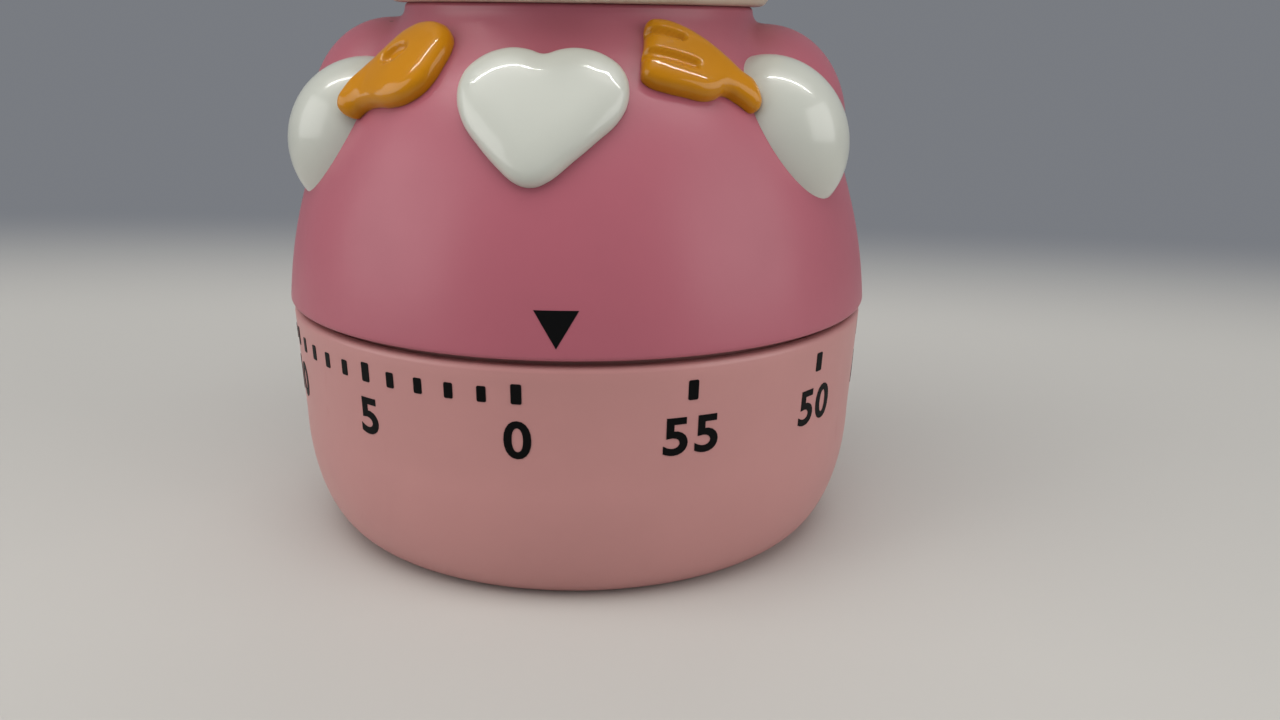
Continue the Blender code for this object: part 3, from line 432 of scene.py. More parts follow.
def dome_normals(points):
    """Outward unit normals of the dome's curve family at points."""
    wide, tall, centre, power = dome_curve()
    radius = np.maximum(np.hypot(points[..., 0], points[..., 1]), 1e-6)
    drop = np.maximum(points[..., 2] - centre, 1e-6)
    outward = (radius / wide) ** (power - 1.0) / wide
    upward = (drop / tall) ** (power - 1.0) / tall
    size = np.hypot(outward, upward)
    return np.stack([points[..., 0] / radius * outward / size,
                     points[..., 1] / radius * outward / size, upward / size], axis=-1)


def on_dome(points, direction):
    """Move points along a direction until they lie on the dome."""
    wide, tall, centre, power = dome_curve()

    def excess(moved):
        radius = np.hypot(moved[..., 0], moved[..., 1]) / wide
        level = np.maximum(moved[..., 2] - centre, 0.0) / tall
        return (radius**power + level**power) ** (1.0 / power) - 1.0

    reach_in, reach_out, halvings = -25.0, 12.0, 40
    low = np.full(points.shape[:-1], reach_in)
    high = np.full(points.shape[:-1], reach_out)
    for _ in range(halvings):
        middle = (low + high) / 2.0
        outside = excess(points + middle[..., None] * direction) > 0.0
        high = np.where(outside, middle, high)
        low = np.where(outside, low, middle)
    return points + ((low + high) / 2.0)[..., None] * direction


ARM_HALF = (8.6, 11.2, 10.1)
HAND_HALF = (8.2, 7.0, 8.6)
LIP_STEPS = 6


def limb_placing(side, azimuth, reach, level, lean):
    """Frame of an arm or a hand: X outwards, Y round, Z up; side is -1 or +1."""
    x, y = polar_front(reach, side * azimuth)
    turn = Matrix.Rotation(side * azimuth - math.pi / 2.0, 4, "Z")
    return Matrix.Translation((x, y, level)) @ turn @ Matrix.Rotation(side * lean, 4, "X")


def arm_placing(side):
    """Frame of the right (-1) or left (+1) arm."""
    sizes = settings().body
    level = mm(sizes.arm_level) - side * mm(sizes.arm_tilt)
    return limb_placing(side, sizes.arm_azimuth, mm(sizes.arm_reach), level, sizes.arm_lean)


def hand_placing(side):
    """Frame of the right (-1) or left (+1) hand."""
    sizes = settings().figure
    level = mm(sizes.hand_level) + side * mm(sizes.hand_tilt)
    return limb_placing(side, sizes.hand_azimuth, mm(sizes.hand_reach), level, sizes.hand_lean)


def rise_over(points, normals, half, placing):
    """How far an ellipsoid stands above points along their normals."""
    inverse = np.array(placing.inverted())
    start = (points @ inverse[:3, :3].T + inverse[:3, 3]) / np.array(half)
    along = (normals @ inverse[:3, :3].T) / np.array(half)
    a = (along * along).sum(-1)
    b = (start * along).sum(-1)
    c = (start * start).sum(-1) - 1.0
    return (-b + np.sqrt(np.maximum(b * b - a * c, 0.0))) / a


def arm_rise(points, normals):
    """Height of the arms above the dome, with a soft crease round them."""
    softness = mm(settings().body.crease)
    total = np.zeros(points.shape[:-1])
    for side in (-1.0, 1.0):
        total += ridge(rise_over(points, normals, ARM_HALF, arm_placing(side)), softness)
    return total


def body_side():
    """The body's outside from the neck down to the rim, as (radius, level)."""
    sizes = settings().body
    lip_radius, edge_radius, spacing = 0.5, 0.42, 0.62
    neck_pull, foot_pull = 2.3, 1.7
    neck, top = mm(sizes.neck_radius), mm(sizes.neck_top)
    foot = mm(sizes.neck_foot)
    lip = arc((neck - lip_radius, top - lip_radius), lip_radius, 90.0, 0.0, LIP_STEPS)
    foot_level = dome_level(foot)
    slope = (dome_level(foot + 0.1) - dome_level(foot - 0.1)) / 0.2
    pull = (foot - foot_pull, foot_level - slope * foot_pull)
    points = lip + curve_points(lip[-1], (neck, top - neck_pull), pull, (foot, foot_level), 18)
    wide, tall, centre, power = dome_curve()
    rim = mm(sizes.rim_level)
    for index in range(1, 400):
        turn = math.radians(0.225 * index)
        radius = wide * math.sin(turn) ** (2.0 / power)
        level = centre + tall * math.cos(turn) ** (2.0 / power)
        spaced = math.dist((radius, level), points[-1]) > spacing
        if radius > foot and level > rim + 0.7 and spaced:
            points.append((radius, level))
    edge = dome_radius(rim + 0.45)
    points += arc((edge - edge_radius, rim + edge_radius), edge_radius, 5.0, -90.0, 6)
    return points


def body_inside():
    """The body's inside from the rim up to the bore of the neck, as (radius, level)."""
    sizes = settings().body
    wall, rim = mm(sizes.wall), mm(sizes.rim_level)
    points = [(dome_radius(rim, -wall), rim)]
    shoulder_level, shoulder_radii, bevel = 46.0, (22.0, 20.5, 18.5, 17.0), 0.3
    for level in np.linspace(rim + 2.0, shoulder_level, 14):
        points.append((dome_radius(level, -wall), float(level)))
    for radius in shoulder_radii:
        points.append((radius, dome_level(radius, -wall)))
    bore, top = mm(sizes.neck_bore), mm(sizes.neck_top)
    points.append((bore, dome_level(shoulder_radii[-1], -wall) + 0.4))
    points += [(bore, top - bevel), (bore + bevel, top)]
    return points


def raised_body(points, sink=0.0):
    """Push rings of the outside out over the arms, less a sink."""
    normals = dome_normals(points)
    return points + normals * (arm_rise(points, normals) - sink)[..., None]


def dome_frame(azimuth, level):
    """X to the side, Y up the slope, Z out of the dome; azimuth in degrees."""
    turn = math.radians(azimuth)
    x, y = polar_front(dome_radius(level), turn)
    run_x, run_y = polar_front(dome_radius(level + 0.1) - dome_radius(level - 0.1), turn)
    up = Vector((run_x, run_y, 0.2)).normalized()
    side = Vector((math.cos(turn), math.sin(turn), 0.0))
    made = Matrix((side, up, side.cross(up))).transposed().to_4x4()
    made.translation = Vector((x, y, level))
    return made


# ---------------------------------------------------------------- node helpers
FLOAT, VECTOR = "NodeSocketFloat", "NodeSocketVector"
GEOMETRY = ("Geometry", "NodeSocketGeometry")


def feed(tree, node, inputs):
    """Set a node's inputs from values or linked sockets."""
    for key, value in inputs.items():
        if isinstance(value, bpy.types.NodeSocket):
            tree.links.new(value, node.inputs[key])
        else:
            node.inputs[key].default_value = value


def add(tree, kind, inputs=None, **fields):
    """A node with its fields and its inputs set, laid out in rows of nine."""
    made = tree.nodes.new(kind)
    row, column = divmod(len(tree.nodes), 9)
    made.location = (180 * column - 1400, 300 - 170 * row)
    for key, value in fields.items():
        setattr(made, key, value)
    feed(tree, made, inputs or {})
    return made


def shared(name):
    """Mark the builder of a node group, so that the group is made only once."""
    def mark(build):
        return lambda: bpy.data.node_groups.get(name) or build(name)
    return mark


def open_tree(name, kind, inputs, outputs):
    """A node group with named sockets; returns it and its two end nodes."""
    tree = bpy.data.node_groups.new(name, kind)
    for direction, sockets in (("INPUT", inputs), ("OUTPUT", outputs)):
        for label, socket_kind, *value in sockets:
            socket = tree.interface.new_socket(name=label, in_out=direction,
                                               socket_type=socket_kind)
            if value:
                socket.default_value = value[0]
    return tree, tree.nodes.new("NodeGroupInput"), tree.nodes.new("NodeGroupOutput")


def math_node(tree, operation, first, second=0.0, clamp=False):
    return add(tree, "ShaderNodeMath", {0: first, 1: second}, operation=operation,
               use_clamp=clamp).outputs[0]


def times(tree, first, second):
    return math_node(tree, "MULTIPLY", first, second)


def remap(tree, value, low, high, to_low=0.0, to_high=1.0):
    """A soft step between two values."""
    return add(tree, "ShaderNodeMapRange", {
        "Value": value, "From Min": low, "From Max": high, "To Min": to_low, "To Max": to_high},
        interpolation_type="SMOOTHSTEP").outputs["Result"]


def mix_colours(tree, share, first, second):
    return add(tree, "ShaderNodeMix", {0: share, 6: first, 7: second},
               data_type="RGBA").outputs[2]


def noise(tree, place, scale, detail=3.0, roughness=0.5):
    return add(tree, "ShaderNodeTexNoise", {"Vector": place, "Scale": scale, "Detail": detail,
                                            "Roughness": roughness}).outputs["Fac"]


def bumped(tree, height, strength, depth):
    """A bumped normal; the depth is in millimetres."""
    return add(tree, "ShaderNodeBump", {"Height": height, "Strength": strength,
                                        "Distance": depth * MM}).outputs["Normal"]


def varied(tree, value, low, high, marks, share):
    """A roughness between two ends, raised where there are marks."""
    return math_node(tree, "ADD", remap(tree, value, 0.3, 0.7, low, high),
                     times(tree, marks, share), clamp=True)


# ---------------------------------------------------------------- finishes
@shared("Moulded Surface")
def moulded_group(name):
    """Moulding: slow drift of tone, fine orange-peel height, sparse specks."""
    tree, start, end = open_tree(
        name, "ShaderNodeTree",
        [("Place", VECTOR), ("Drift Scale", FLOAT, 60.0), ("Grain Scale", FLOAT, 2200.0),
         ("Speck Scale", FLOAT, 260.0), ("Speck Size", FLOAT, 0.06)],
        [("Drift", FLOAT), ("Grain", FLOAT), ("Specks", FLOAT)])
    place, drift_scale, grain_scale, speck_scale, speck_size = start.outputs[:5]
    fine = noise(tree, place, grain_scale, 2.0)
    peel = noise(tree, place, times(tree, grain_scale, 0.22), 2.0)
    cells = add(tree, "ShaderNodeTexVoronoi", {"Vector": place, "Scale": speck_scale})
    near = math_node(tree, "LESS_THAN", cells.outputs["Distance"], speck_size)
    red = add(tree, "ShaderNodeSeparateColor", {"Color": cells.outputs["Color"]}).outputs[0]
    chosen = math_node(tree, "GREATER_THAN", red, 0.93)
    feed(tree, end, {"Drift": noise(tree, place, drift_scale, 4.0, 0.55),
                     "Grain": math_node(tree, "ADD", times(tree, fine, 0.35), peel),
                     "Specks": times(tree, near, chosen)})
    return tree


@shared("Handling Scuffs")
def scuff_group(name):
    """Handling marks: short crossed scratches that only show in places."""
    tree, start, end = open_tree(
        name, "ShaderNodeTree",
        [("Place", VECTOR), ("Scale", FLOAT, 90.0), ("Amount", FLOAT, 0.5)], [("Scuffs", FLOAT)])
    place, scale, amount = start.outputs[:3]
    found = []
    for turn, stretch in ((0.5, (1.0, 9.0, 1.0)), (1.9, (9.0, 1.0, 2.0))):
        laid = add(tree, "ShaderNodeMapping", {
            "Vector": place, "Rotation": (turn, turn * 0.6, turn * 1.3), "Scale": stretch})
        found.append(remap(tree, noise(tree, laid.outputs[0], scale, 2.0, 0.6), 0.66, 0.74))
    both = math_node(tree, "MAXIMUM", *found)
    where = remap(tree, noise(tree, place, 70.0, 2.0), 0.45, 0.62)
    feed(tree, end, {"Scuffs": times(tree, times(tree, both, where), amount)})
    return tree


@shared("Rolled Metal")
def rolled_group(name):
    """Rolled metal: fine parallel lines and stains."""
    tree, start, end = open_tree(
        name, "ShaderNodeTree",
        [("Place", VECTOR), ("Line Scale", FLOAT, 900.0), ("Stain Scale", FLOAT, 120.0)],
        [("Lines", FLOAT), ("Stains", FLOAT)])
    place, line_scale, stain_scale = start.outputs[:3]
    stretched = add(tree, "ShaderNodeMapping", {"Vector": place, "Scale": (0.06, 1.0, 1.0),
                                                "Rotation": (0.0, 0.0, 0.4)}).outputs[0]
    feed(tree, end, {"Lines": noise(tree, stretched, line_scale, 3.0, 0.6),
                     "Stains": noise(tree, place, stain_scale, 5.0, 0.65)})
    return tree


def new_material(name, display):
    """A material, its tree, its shader and the place on the object."""
    made = bpy.data.materials.new(name)
    made.use_nodes = True
    made.diffuse_color = tuple(display)
    tree = made.node_tree
    place = add(tree, "ShaderNodeTexCoord").outputs["Object"]
    return made, tree, tree.nodes["Principled BSDF"], place


def group_node(tree, group, **values):
    inputs = {key.replace("_", " ").title(): value for key, value in values.items()}
    return add(tree, "ShaderNodeGroup", inputs, node_tree=group)


def shade(value, factor):
    return (value[0] * factor, value[1] * factor, value[2] * factor, 1.0)


def moulded_material(name, tone, roughness, depth, grain, drift_to, coat=0.0, dirt=0.0,
                     scuffs=0.35, speck_tone=(0.10, 0.05, 0.04, 1.0), gleam=0.5):
    """Moulded or painted plastic with grain, specks, scuffs, and painted shade with soiling
    darkening the corners.
    """
    made, tree, shader, place = new_material(name, tone)
    skin = group_node(tree, moulded_group(), place=place, grain_scale=grain)
    marks = group_node(tree, scuff_group(), place=place, amount=scuffs)
    drift = skin.outputs["Drift"]
    paint = mix_colours(tree, remap(tree, drift, 0.35, 0.65), tone, shade(tone, drift_to))
    paint = mix_colours(tree, times(tree, skin.outputs["Specks"], 0.55), paint, speck_tone)
    # painted shade: an ambient-occlusion mask darkens corners, creases and the seams between parts
    # towards brown, broken into patches by noise so that it also stands for soiling
    if dirt:
        hollow = add(tree, "ShaderNodeAmbientOcclusion", {"Distance": 0.7 * MM}, samples=8)
        corner = remap(tree, hollow.outputs["AO"], 0.30, 0.72, 1.0, 0.0)
        patchy = remap(tree, noise(tree, place, 900.0), 0.40, 0.60, 0.15, 1.0)
        grime_and_shade = times(tree, times(tree, corner, patchy), dirt)
        # the brown that the painted shade and soiling darken towards
        paint = mix_colours(tree, grime_and_shade, paint, (0.16, 0.07, 0.05, 1.0))
    feed(tree, shader, {
        "Base Color": paint,
        "Roughness": varied(tree, drift, roughness - 0.03, roughness + 0.04,
                            marks.outputs["Scuffs"], 0.14),
        "Normal": bumped(tree, skin.outputs["Grain"], 0.35, depth),
        "Specular IOR Level": gleam, "IOR": 1.49, "Coat Weight": coat, "Coat Roughness": 0.04})
    return made


def metal_material(name, tone, stain, roughness, line_depth):
    """Rolled or plated metal with fine lines and duller stains."""
    made, tree, shader, place = new_material(name, tone)
    rolled = group_node(tree, rolled_group(), place=place)
    lines = rolled.outputs["Lines"]
    stained = remap(tree, rolled.outputs["Stains"], 0.48, 0.72, 0.0, 0.75)
    feed(tree, shader, {
        "Base Color": mix_colours(tree, stained, tone, (*stain, 1.0)),
        "Roughness": varied(tree, lines, roughness - 0.06, roughness + 0.08, stained, 0.12),
        "Normal": bumped(tree, lines, 0.3, line_depth),
        "Metallic": 1.0})
    return made


# name: colour setting, roughness, grain depth, grain scale, far end of the tone drift, rest
PLASTICS = {
    "Satin Rose Plastic": ("body", 0.37, 0.05, 1500.0, 0.955, {"gleam": 0.38}),
    "Pale Rose Plastic": ("base", 0.40, 0.05, 1700.0, 0.96, {}),
    # the white and ochre paints darken towards brown in their corners: painted shade mixed with
    # soiling
    "White Gloss Paint": ("white", 0.33, 0.05, 520.0, 0.95, {"coat": 0.45, "dirt": 0.55}),
    "Ochre Gloss Paint": ("ochre", 0.32, 0.07, 520.0, 0.88,
                          {"coat": 0.5, "dirt": 0.45, "gleam": 0.1}),
    "Cream Plastic": ("cream", 0.42, 0.05, 1500.0, 0.96, {}),
    "Blush Plastic": ("blush", 0.45, 0.05, 1500.0, 0.95, {}),
    "Gloss Black Bead": ("bead", 0.16, 0.02, 700.0, 0.7,
                         {"coat": 0.8, "scuffs": 0.2, "speck_tone": (0.05, 0.05, 0.05, 1.0)}),
    "Black Print": ("ink", 0.42, 0.03, 2600.0, 1.5,
                    {"scuffs": 0.5, "gleam": 0.06, "speck_tone": (0.03, 0.02, 0.02, 1.0)}),
    "Natural Nylon": ("nylon", 0.50, 0.05, 1400.0, 0.93, {}),
}
# name: colour setting, stain colour, roughness, depth of the lines
METALS = {
    "Plated Steel": ("steel", (0.30, 0.29, 0.27), 0.30, 0.02),
    "Bell Steel": ("bell", (0.44, 0.42, 0.39), 0.20, 0.01),
    "Blued Spring Steel": ("spring", (0.10, 0.09, 0.10), 0.32, 0.015),
    "Rolled Brass": ("brass", (0.38, 0.22, 0.07), 0.28, 0.02),
}


def finish(name):
    """The material of that name, made once from the settings."""
    if name in bpy.data.materials:
        return bpy.data.materials[name]
    colours = settings().colours
    if name in METALS:
        key, *values = METALS[name]
        return metal_material(name, tuple(getattr(colours, key)), *values)
    key, *values, rest = PLASTICS[name]
    return moulded_material(name, tuple(getattr(colours, key)), *values, **rest)


# ---------------------------------------------------------------- geometry nodes
def open_copies_tree(name, inputs):
    """A modifier's tree that takes a piece, a material and the given inputs."""
    tree, start, end = open_tree(
        name, "GeometryNodeTree",
        [GEOMETRY, ("Piece", "NodeSocketObject"), ("Material", "NodeSocketMaterial"), *inputs],
        [GEOMETRY])
    tree.is_modifier = True
    return tree, start, end


def close_copies_tree(tree, start, end, points, rotation):
    """Copies of the chosen piece on points, made real and given a material."""
    source = add(tree, "GeometryNodeObjectInfo", {"Object": start.outputs["Piece"]},
                 transform_space="ORIGINAL")
    copies = add(tree, "GeometryNodeInstanceOnPoints",
                 {"Points": points, "Instance": source.outputs["Geometry"], "Rotation": rotation})
    real = add(tree, "GeometryNodeRealizeInstances", {"Geometry": copies.outputs[0]})
    painted = add(tree, "GeometryNodeSetMaterial",
                  {"Geometry": real.outputs[0], "Material": start.outputs["Material"]})
    feed(tree, end, {"Geometry": painted.outputs[0]})
    return tree


@shared("Copies Round a Ring")
def ring_tree(name):
    """Copies set round the axis at even steps, each leaning with a flared wall."""
    tree, start, end = open_copies_tree(name, [
        ("Count", "NodeSocketInt"), ("First Angle", FLOAT), ("Step Angle", FLOAT),
        ("Radius", FLOAT), ("Level", FLOAT), ("Lean", FLOAT)])
    count, first, step, radius, level, lean = start.outputs[3:9]
    line = add(tree, "GeometryNodeMeshLine", {"Count": count}).outputs[0]
    index = add(tree, "GeometryNodeInputIndex").outputs[0]
    turn = math_node(tree, "ADD", times(tree, index, step), first)
    east = times(tree, math_node(tree, "COSINE", turn), radius)
    north = times(tree, math_node(tree, "SINE", turn), radius)
    place = add(tree, "ShaderNodeCombineXYZ", {"X": east, "Y": north, "Z": level}).outputs[0]
    points = add(tree, "GeometryNodeSetPosition", {"Geometry": line, "Position": place}).outputs[0]
    rotation = add(tree, "ShaderNodeCombineXYZ", {"Y": lean, "Z": turn}).outputs[0]
    return close_copies_tree(tree, start, end, points, rotation)


@shared("Copies on Points")
def points_tree(name):
    """Copies set on the points of a mesh, each turned a little further."""
    tree, start, end = open_copies_tree(name, [("Flip", FLOAT), ("Turn Step", FLOAT)])
    flip, step = start.outputs[3:5]
    turn = times(tree, add(tree, "GeometryNodeInputIndex").outputs[0], step)
    rotation = add(tree, "ShaderNodeCombineXYZ", {"X": flip, "Z": turn}).outputs[0]
    return close_copies_tree(tree, start, end, start.outputs["Geometry"], rotation)


def run_tree(name, tree, points, values):
    """A mesh object from a tree run on points in millimetres; the piece is used up."""
    mesh = bpy.data.meshes.new(name)
    mesh.from_pydata([tuple(value * MM for value in point) for point in points], [], [])
    holder = to_object(name, mesh)
    step = holder.modifiers.new("Copies", "NODES")
    step.node_group = tree
    for item in tree.interface.items_tree:
        if item.in_out == "INPUT" and item.name in values:
            step[item.identifier] = values[item.name]
    apply_modifiers(holder)
    bpy.data.objects.remove(values["Piece"], do_unlink=True)
    if not holder.data.polygons:
        raise RuntimeError(f"{name} came out empty")
    return holder


# ---------------------------------------------------------------- base
def base_outline():
    """The cup: floor, inner wall, collar, rim, side, foot ring, underside."""
    sizes = settings().base
    height, wall = mm(sizes.height), mm(sizes.wall)
    collar, collar_top = mm(sizes.collar_radius), mm(sizes.collar_top)
    rim = mm(sizes.rim_radius)
    floor, underside, outer_line, inner_line = 2.6, 0.8, 0.6, 0.62
    points = [(0.0, floor), (base_radius(floor) - wall - 1.2, floor)]
    points += [(base_radius(level) - wall, level) for level in (4.5, 8.0, 13.5, 22.0)]
    points += [(collar - 1.4, 24.0), (collar - 1.4, collar_top - 0.2)]
    points += [(collar - 1.2, collar_top), (collar - 0.2, collar_top), (collar, collar_top - 0.2)]
    points += [(collar, height - 1.1), (collar + 0.15, height - 1.25)]
    points += [(rim - wall + 0.1, height - 1.25), (rim - wall + 0.3, height - 0.5)]
    points += arc((rim - wall + 0.75, height - 0.45), 0.45, 180.0, 90.0, 4)
    points += arc((rim - 0.62, height - 0.6), 0.6, 90.0, 4.0, 7)
    for level in np.linspace(height - 1.6, mm(sizes.corner_height), 14):
        points.append((base_radius(level), float(level)))
    for index in range(1, 25):
        level = mm(sizes.corner_height) * (1.0 - math.sin(math.radians(3.7 * index)))
        points.append((base_radius(level), level))
    foot = base_radius(0.0)
    points += [(foot - 0.25, 0.0), (19.4, 0.0), (19.0, 0.12), (18.4, 0.7), (18.2, underside)]
    points += [(12.6, underside), (12.4, outer_line), (11.8, outer_line), (11.6, underside)]
    points += [(6.2, underside), (6.0, inner_line), (5.4, inner_line), (5.2, underside)]
    points.append((0.0, underside))
    return points


def node_centre(node):
    """Middle of a model part's box, in millimetres."""
    low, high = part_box(node)
    return (low + high) / 2.0 / MM


def screw_places(prefix, node_level):
    """Plan centres of the three like-named screws, at a given level."""
    middles = [node_centre(f"{prefix}_{index}") for index in (1, 2, 3)]
    return [(middle.x, middle.y, node_level) for middle in middles]


class TIMER_OT_base(Operator):
    """Make the base cup, with its screw pockets underneath"""

    bl_idname = "kitchen_timer.base"
    bl_label = "Base Cup"

    def execute(self, context):
        cup = turned("base_cup", base_outline())
        # the pocket of a screw's head and the hole of its shank: radius, low and high ends
        holes = ((2.3, -1.0, 2.9), (1.3, -1.0, 5.2))
        for x, y, _ in screw_places("case_screw", 0.0):
            for radius, low, high in holes:
                outline = [(0.0, low), (radius, low), (radius, high), (0.0, high)]
                pocket = turned("pocket", outline, 40)
                pocket.data.transform(Matrix.Translation((x * MM, y * MM, 0.0)))
                boolean(cup, pocket, "DIFFERENCE")
        smooth(cup)
        place_piece(cup, "base", "base_plastic", "Pale Rose Plastic", "base_shell")
        return {"FINISHED"}


# ---------------------------------------------------------------- dial
MINUTE, FIVE_MINUTES = math.radians(6.0), math.radians(30.0)


def rounded_slab(name, width, height, thickness, corner):
    """A thin upright mark: X outwards, Y across, Z up, centred."""
    outline = []
    for along, up, start in ((1, 1, 0.0), (-1, 1, 90.0), (-1, -1, 180.0), (1, -1, 270.0)):
        centre = (along * (width / 2.0 - corner), up * (height / 2.0 - corner))
        outline += arc(centre, corner, start, start + 90.0, 3)
    ends = [[(depth * MM, y * MM, z * MM) for y, z in outline] for depth in (-thickness, thickness)]
    return from_bmesh(name, prism(ends))


def minute_turn(minute):
    """Angle of a minute mark from +X, anticlockwise, in radians."""
    return settings().dial.zero_azimuth - math.pi / 2.0 - minute * MINUTE


def ring_of_marks(name, width, height, count, first, step):
    """Like marks round the base, standing on one level; sizes in metres."""
    sizes = settings().dial
    corner = 0.16
    level = mm(sizes.mark_foot) + mm(height) / 2.0
    mark = rounded_slab(name + "_pattern", mm(width), mm(height), mm(sizes.ink), corner)
    return run_tree(name, ring_tree(), [(0.0, 0.0, 0.0)], {
        "Piece": mark, "Material": finish("Black Print"), "Count": count,
        "First Angle": first, "Step Angle": step, "Radius": base_radius(level) * MM,
        "Level": level * MM, "Lean": math.atan(settings().base.taper)})


def embolden(shape, weight):
    """Move the side walls of a flat, upright form outwards, with mitred corners."""
    bmesh.ops.recalc_face_normals(shape, faces=shape.faces)
    sharpest = 0.45
    moves = []
    for vert in shape.verts:
        walls = [face.normal for face in vert.link_faces if abs(face.normal.z) < 0.5]
        total = sum(walls, Vector())
        moves.append(total * weight / max(sharpest, total.dot(walls[0])))
    for vert, move in zip(shape.verts, moves):
        vert.co += move


def digit_mesh(text, digit_height, width_share, weight):
    """A number as a thin flat mesh, centred, with its top at zero; millimetres."""
    curve = bpy.data.curves.new("digits", "FONT")
    curve.body = text
    curve.align_x = "CENTER"
    curve.space_character = 1.12
    curve.extrude = 0.5
    curve.resolution_u = 5
    shape = curve_shape(curve)
    bmesh.ops.remove_doubles(shape, verts=shape.verts, dist=3e-3)
    embolden(shape, weight)
    points = np.array([vert.co for vert in shape.verts])
    low, high = points.min(0), points.max(0)
    scale = digit_height / (high[1] - low[1])
    middle = (low[0] + high[0]) / 2.0
    for vert in shape.verts:
        vert.co = Vector(((vert.co.x - middle) * scale * width_share,
                          (vert.co.y - high[1]) * scale, vert.co.z))
    return shape


class TIMER_OT_dial(Operator):
    """Print the minute marks and the numbers round the base"""

    bl_idname = "kitchen_timer.dial"
    bl_label = "Minute Scale"

    def execute(self, context):
        sizes, sunk = settings().dial, 0.05
        bars = ring_of_marks("dial_five_minute_bars", sizes.bar_width, sizes.bar_height,
                             12, minute_turn(0), FIVE_MINUTES)
        place_piece(bars, "base", "black_gloss", "Black Print")
        for index, start in enumerate(range(0, sizes.last_minute, 5), start=1):
            marks = ring_of_marks(f"dial_minute_marks_{index}", sizes.mark_width,
                                  sizes.mark_height, 4, minute_turn(start + 1), -MINUTE)
            place_piece(marks, "base", "black_gloss", "Black Print")
        for minute in range(0, 60, 5):
            text = str(minute)
            # a lone 0 is a little narrower, and the opening of a 4 needs thinner strokes
            width_share = 1.10 if minute else 1.07
            weight = 0.014 if "4" in text else 0.022
            shape = digit_mesh(text, mm(sizes.digit_height), width_share, weight)
            turn = minute_turn(minute)
            for vert in shape.verts:
                level = mm(sizes.digit_top) + vert.co.y
                radius = base_radius(level) + (mm(sizes.ink) if vert.co.z > 0 else -sunk)
                here = turn + vert.co.x / radius
                vert.co = Vector((radius * math.cos(here), radius * math.sin(here), level)) * MM
            number_piece = from_bmesh(f"dial_number_{text}", shape)
            place_piece(number_piece, "base", "black_gloss", "Black Print")
        return {"FINISHED"}


# ---------------------------------------------------------------- turning body
class TIMER_OT_body(Operator):
    """Make the turning dome with its neck and moulded arms, and print its pointer"""

    bl_idname = "kitchen_timer.body"
    bl_label = "Turning Body"

    def execute(self, context):
        outside = raised_body(ring_points(body_side(), SHELL_STEPS))
        inside = ring_points(body_inside(), SHELL_STEPS)
        body = smooth(surface("turning_body", np.concatenate([outside, inside]), True))
        place_piece(body, "figure", "body_plastic", "Satin Rose Plastic", "body_shell")
        self.pointer()
        return {"FINISHED"}

    @staticmethod
    def pointer():
        sizes = settings().dial
        low, high, width = mm(sizes.pointer_low), mm(sizes.pointer_high), mm(sizes.pointer_width)
        corners = [(-width / 2.0, high), (width / 2.0, high), (0.0, low)]
        shape = prism([[(x, level, depth) for x, level in corners] for depth in (1.0, -1.0)])
        bmesh.ops.triangulate(shape, faces=shape.faces)
        long_edges = [edge for edge in shape.edges if edge.calc_length() > 0.5]
        bmesh.ops.subdivide_edges(shape, edges=long_edges, cuts=7, use_grid_fill=True)
        for vert in shape.verts:
            radius = dome_radius(vert.co.y) + vert.co.z * mm(sizes.ink)
            x, y = polar_front(radius, sizes.pointer_azimuth + vert.co.x / radius)
            vert.co = Vector((x, y, vert.co.y)) * MM
        mark = from_bmesh("pointer_mark", shape)
        place_piece(mark, "figure", "black_gloss", "Black Print")


# ---------------------------------------------------------------- raised shapes
def flat_form(name, outline, thickness, edge, voxel, rounds):
    """A closed flat form with rounded edges from a smooth outline, in millimetres."""
    curve = bpy.data.curves.new(name, "CURVE")
    curve.dimensions = "2D"
    curve.fill_mode = "BOTH"
    curve.extrude = thickness / 2.0 - edge
    curve.bevel_depth = edge
    curve.bevel_resolution = 4
    curve.offset = -edge
    curve.resolution_u = 8
    spline = curve.splines.new("BEZIER")
    spline.bezier_points.add(len(outline) - 1)
    for point, (x, y) in zip(spline.bezier_points, outline):
        point.co = (x, y, 0.0)
        point.handle_left_type = point.handle_right_type = "AUTO"
    spline.use_cyclic_u = True
    shape = curve_shape(curve)
    shape.transform(Matrix.Scale(MM, 4))
    return soften(from_bmesh(name, shape, 1e-7), voxel, rounds)


def edit_points(thing, change):
    """Run a function on all points, in millimetres, and write them back."""
    count = len(thing.data.vertices)
    flat = np.zeros(count * 3)
    thing.data.vertices.foreach_get("co", flat)
    points = change(flat.reshape(-1, 3) / MM)
    thing.data.vertices.foreach_set("co", (points * MM).ravel())
    thing.data.update()
    return thing


def wrap_on_dome(thing, place, sink, riding):
    """Lay a flat form on the dome; riding adds the height of what lies under it."""
    here = dome_frame(*place)
    turn = np.array(here.to_3x3())
    origin = np.array(here.translation)

    def change(points):
        flat = np.stack([points[:, 0], points[:, 1], np.zeros(len(points))], axis=1)
        feet = on_dome(flat @ turn.T + origin, turn[:, 2])
        normals = dome_normals(feet)
        height = points[:, 2] - points[:, 2].min() - sink + riding(feet, normals)
        return feet + normals * height[:, None]

    return edit_points(thing, change)


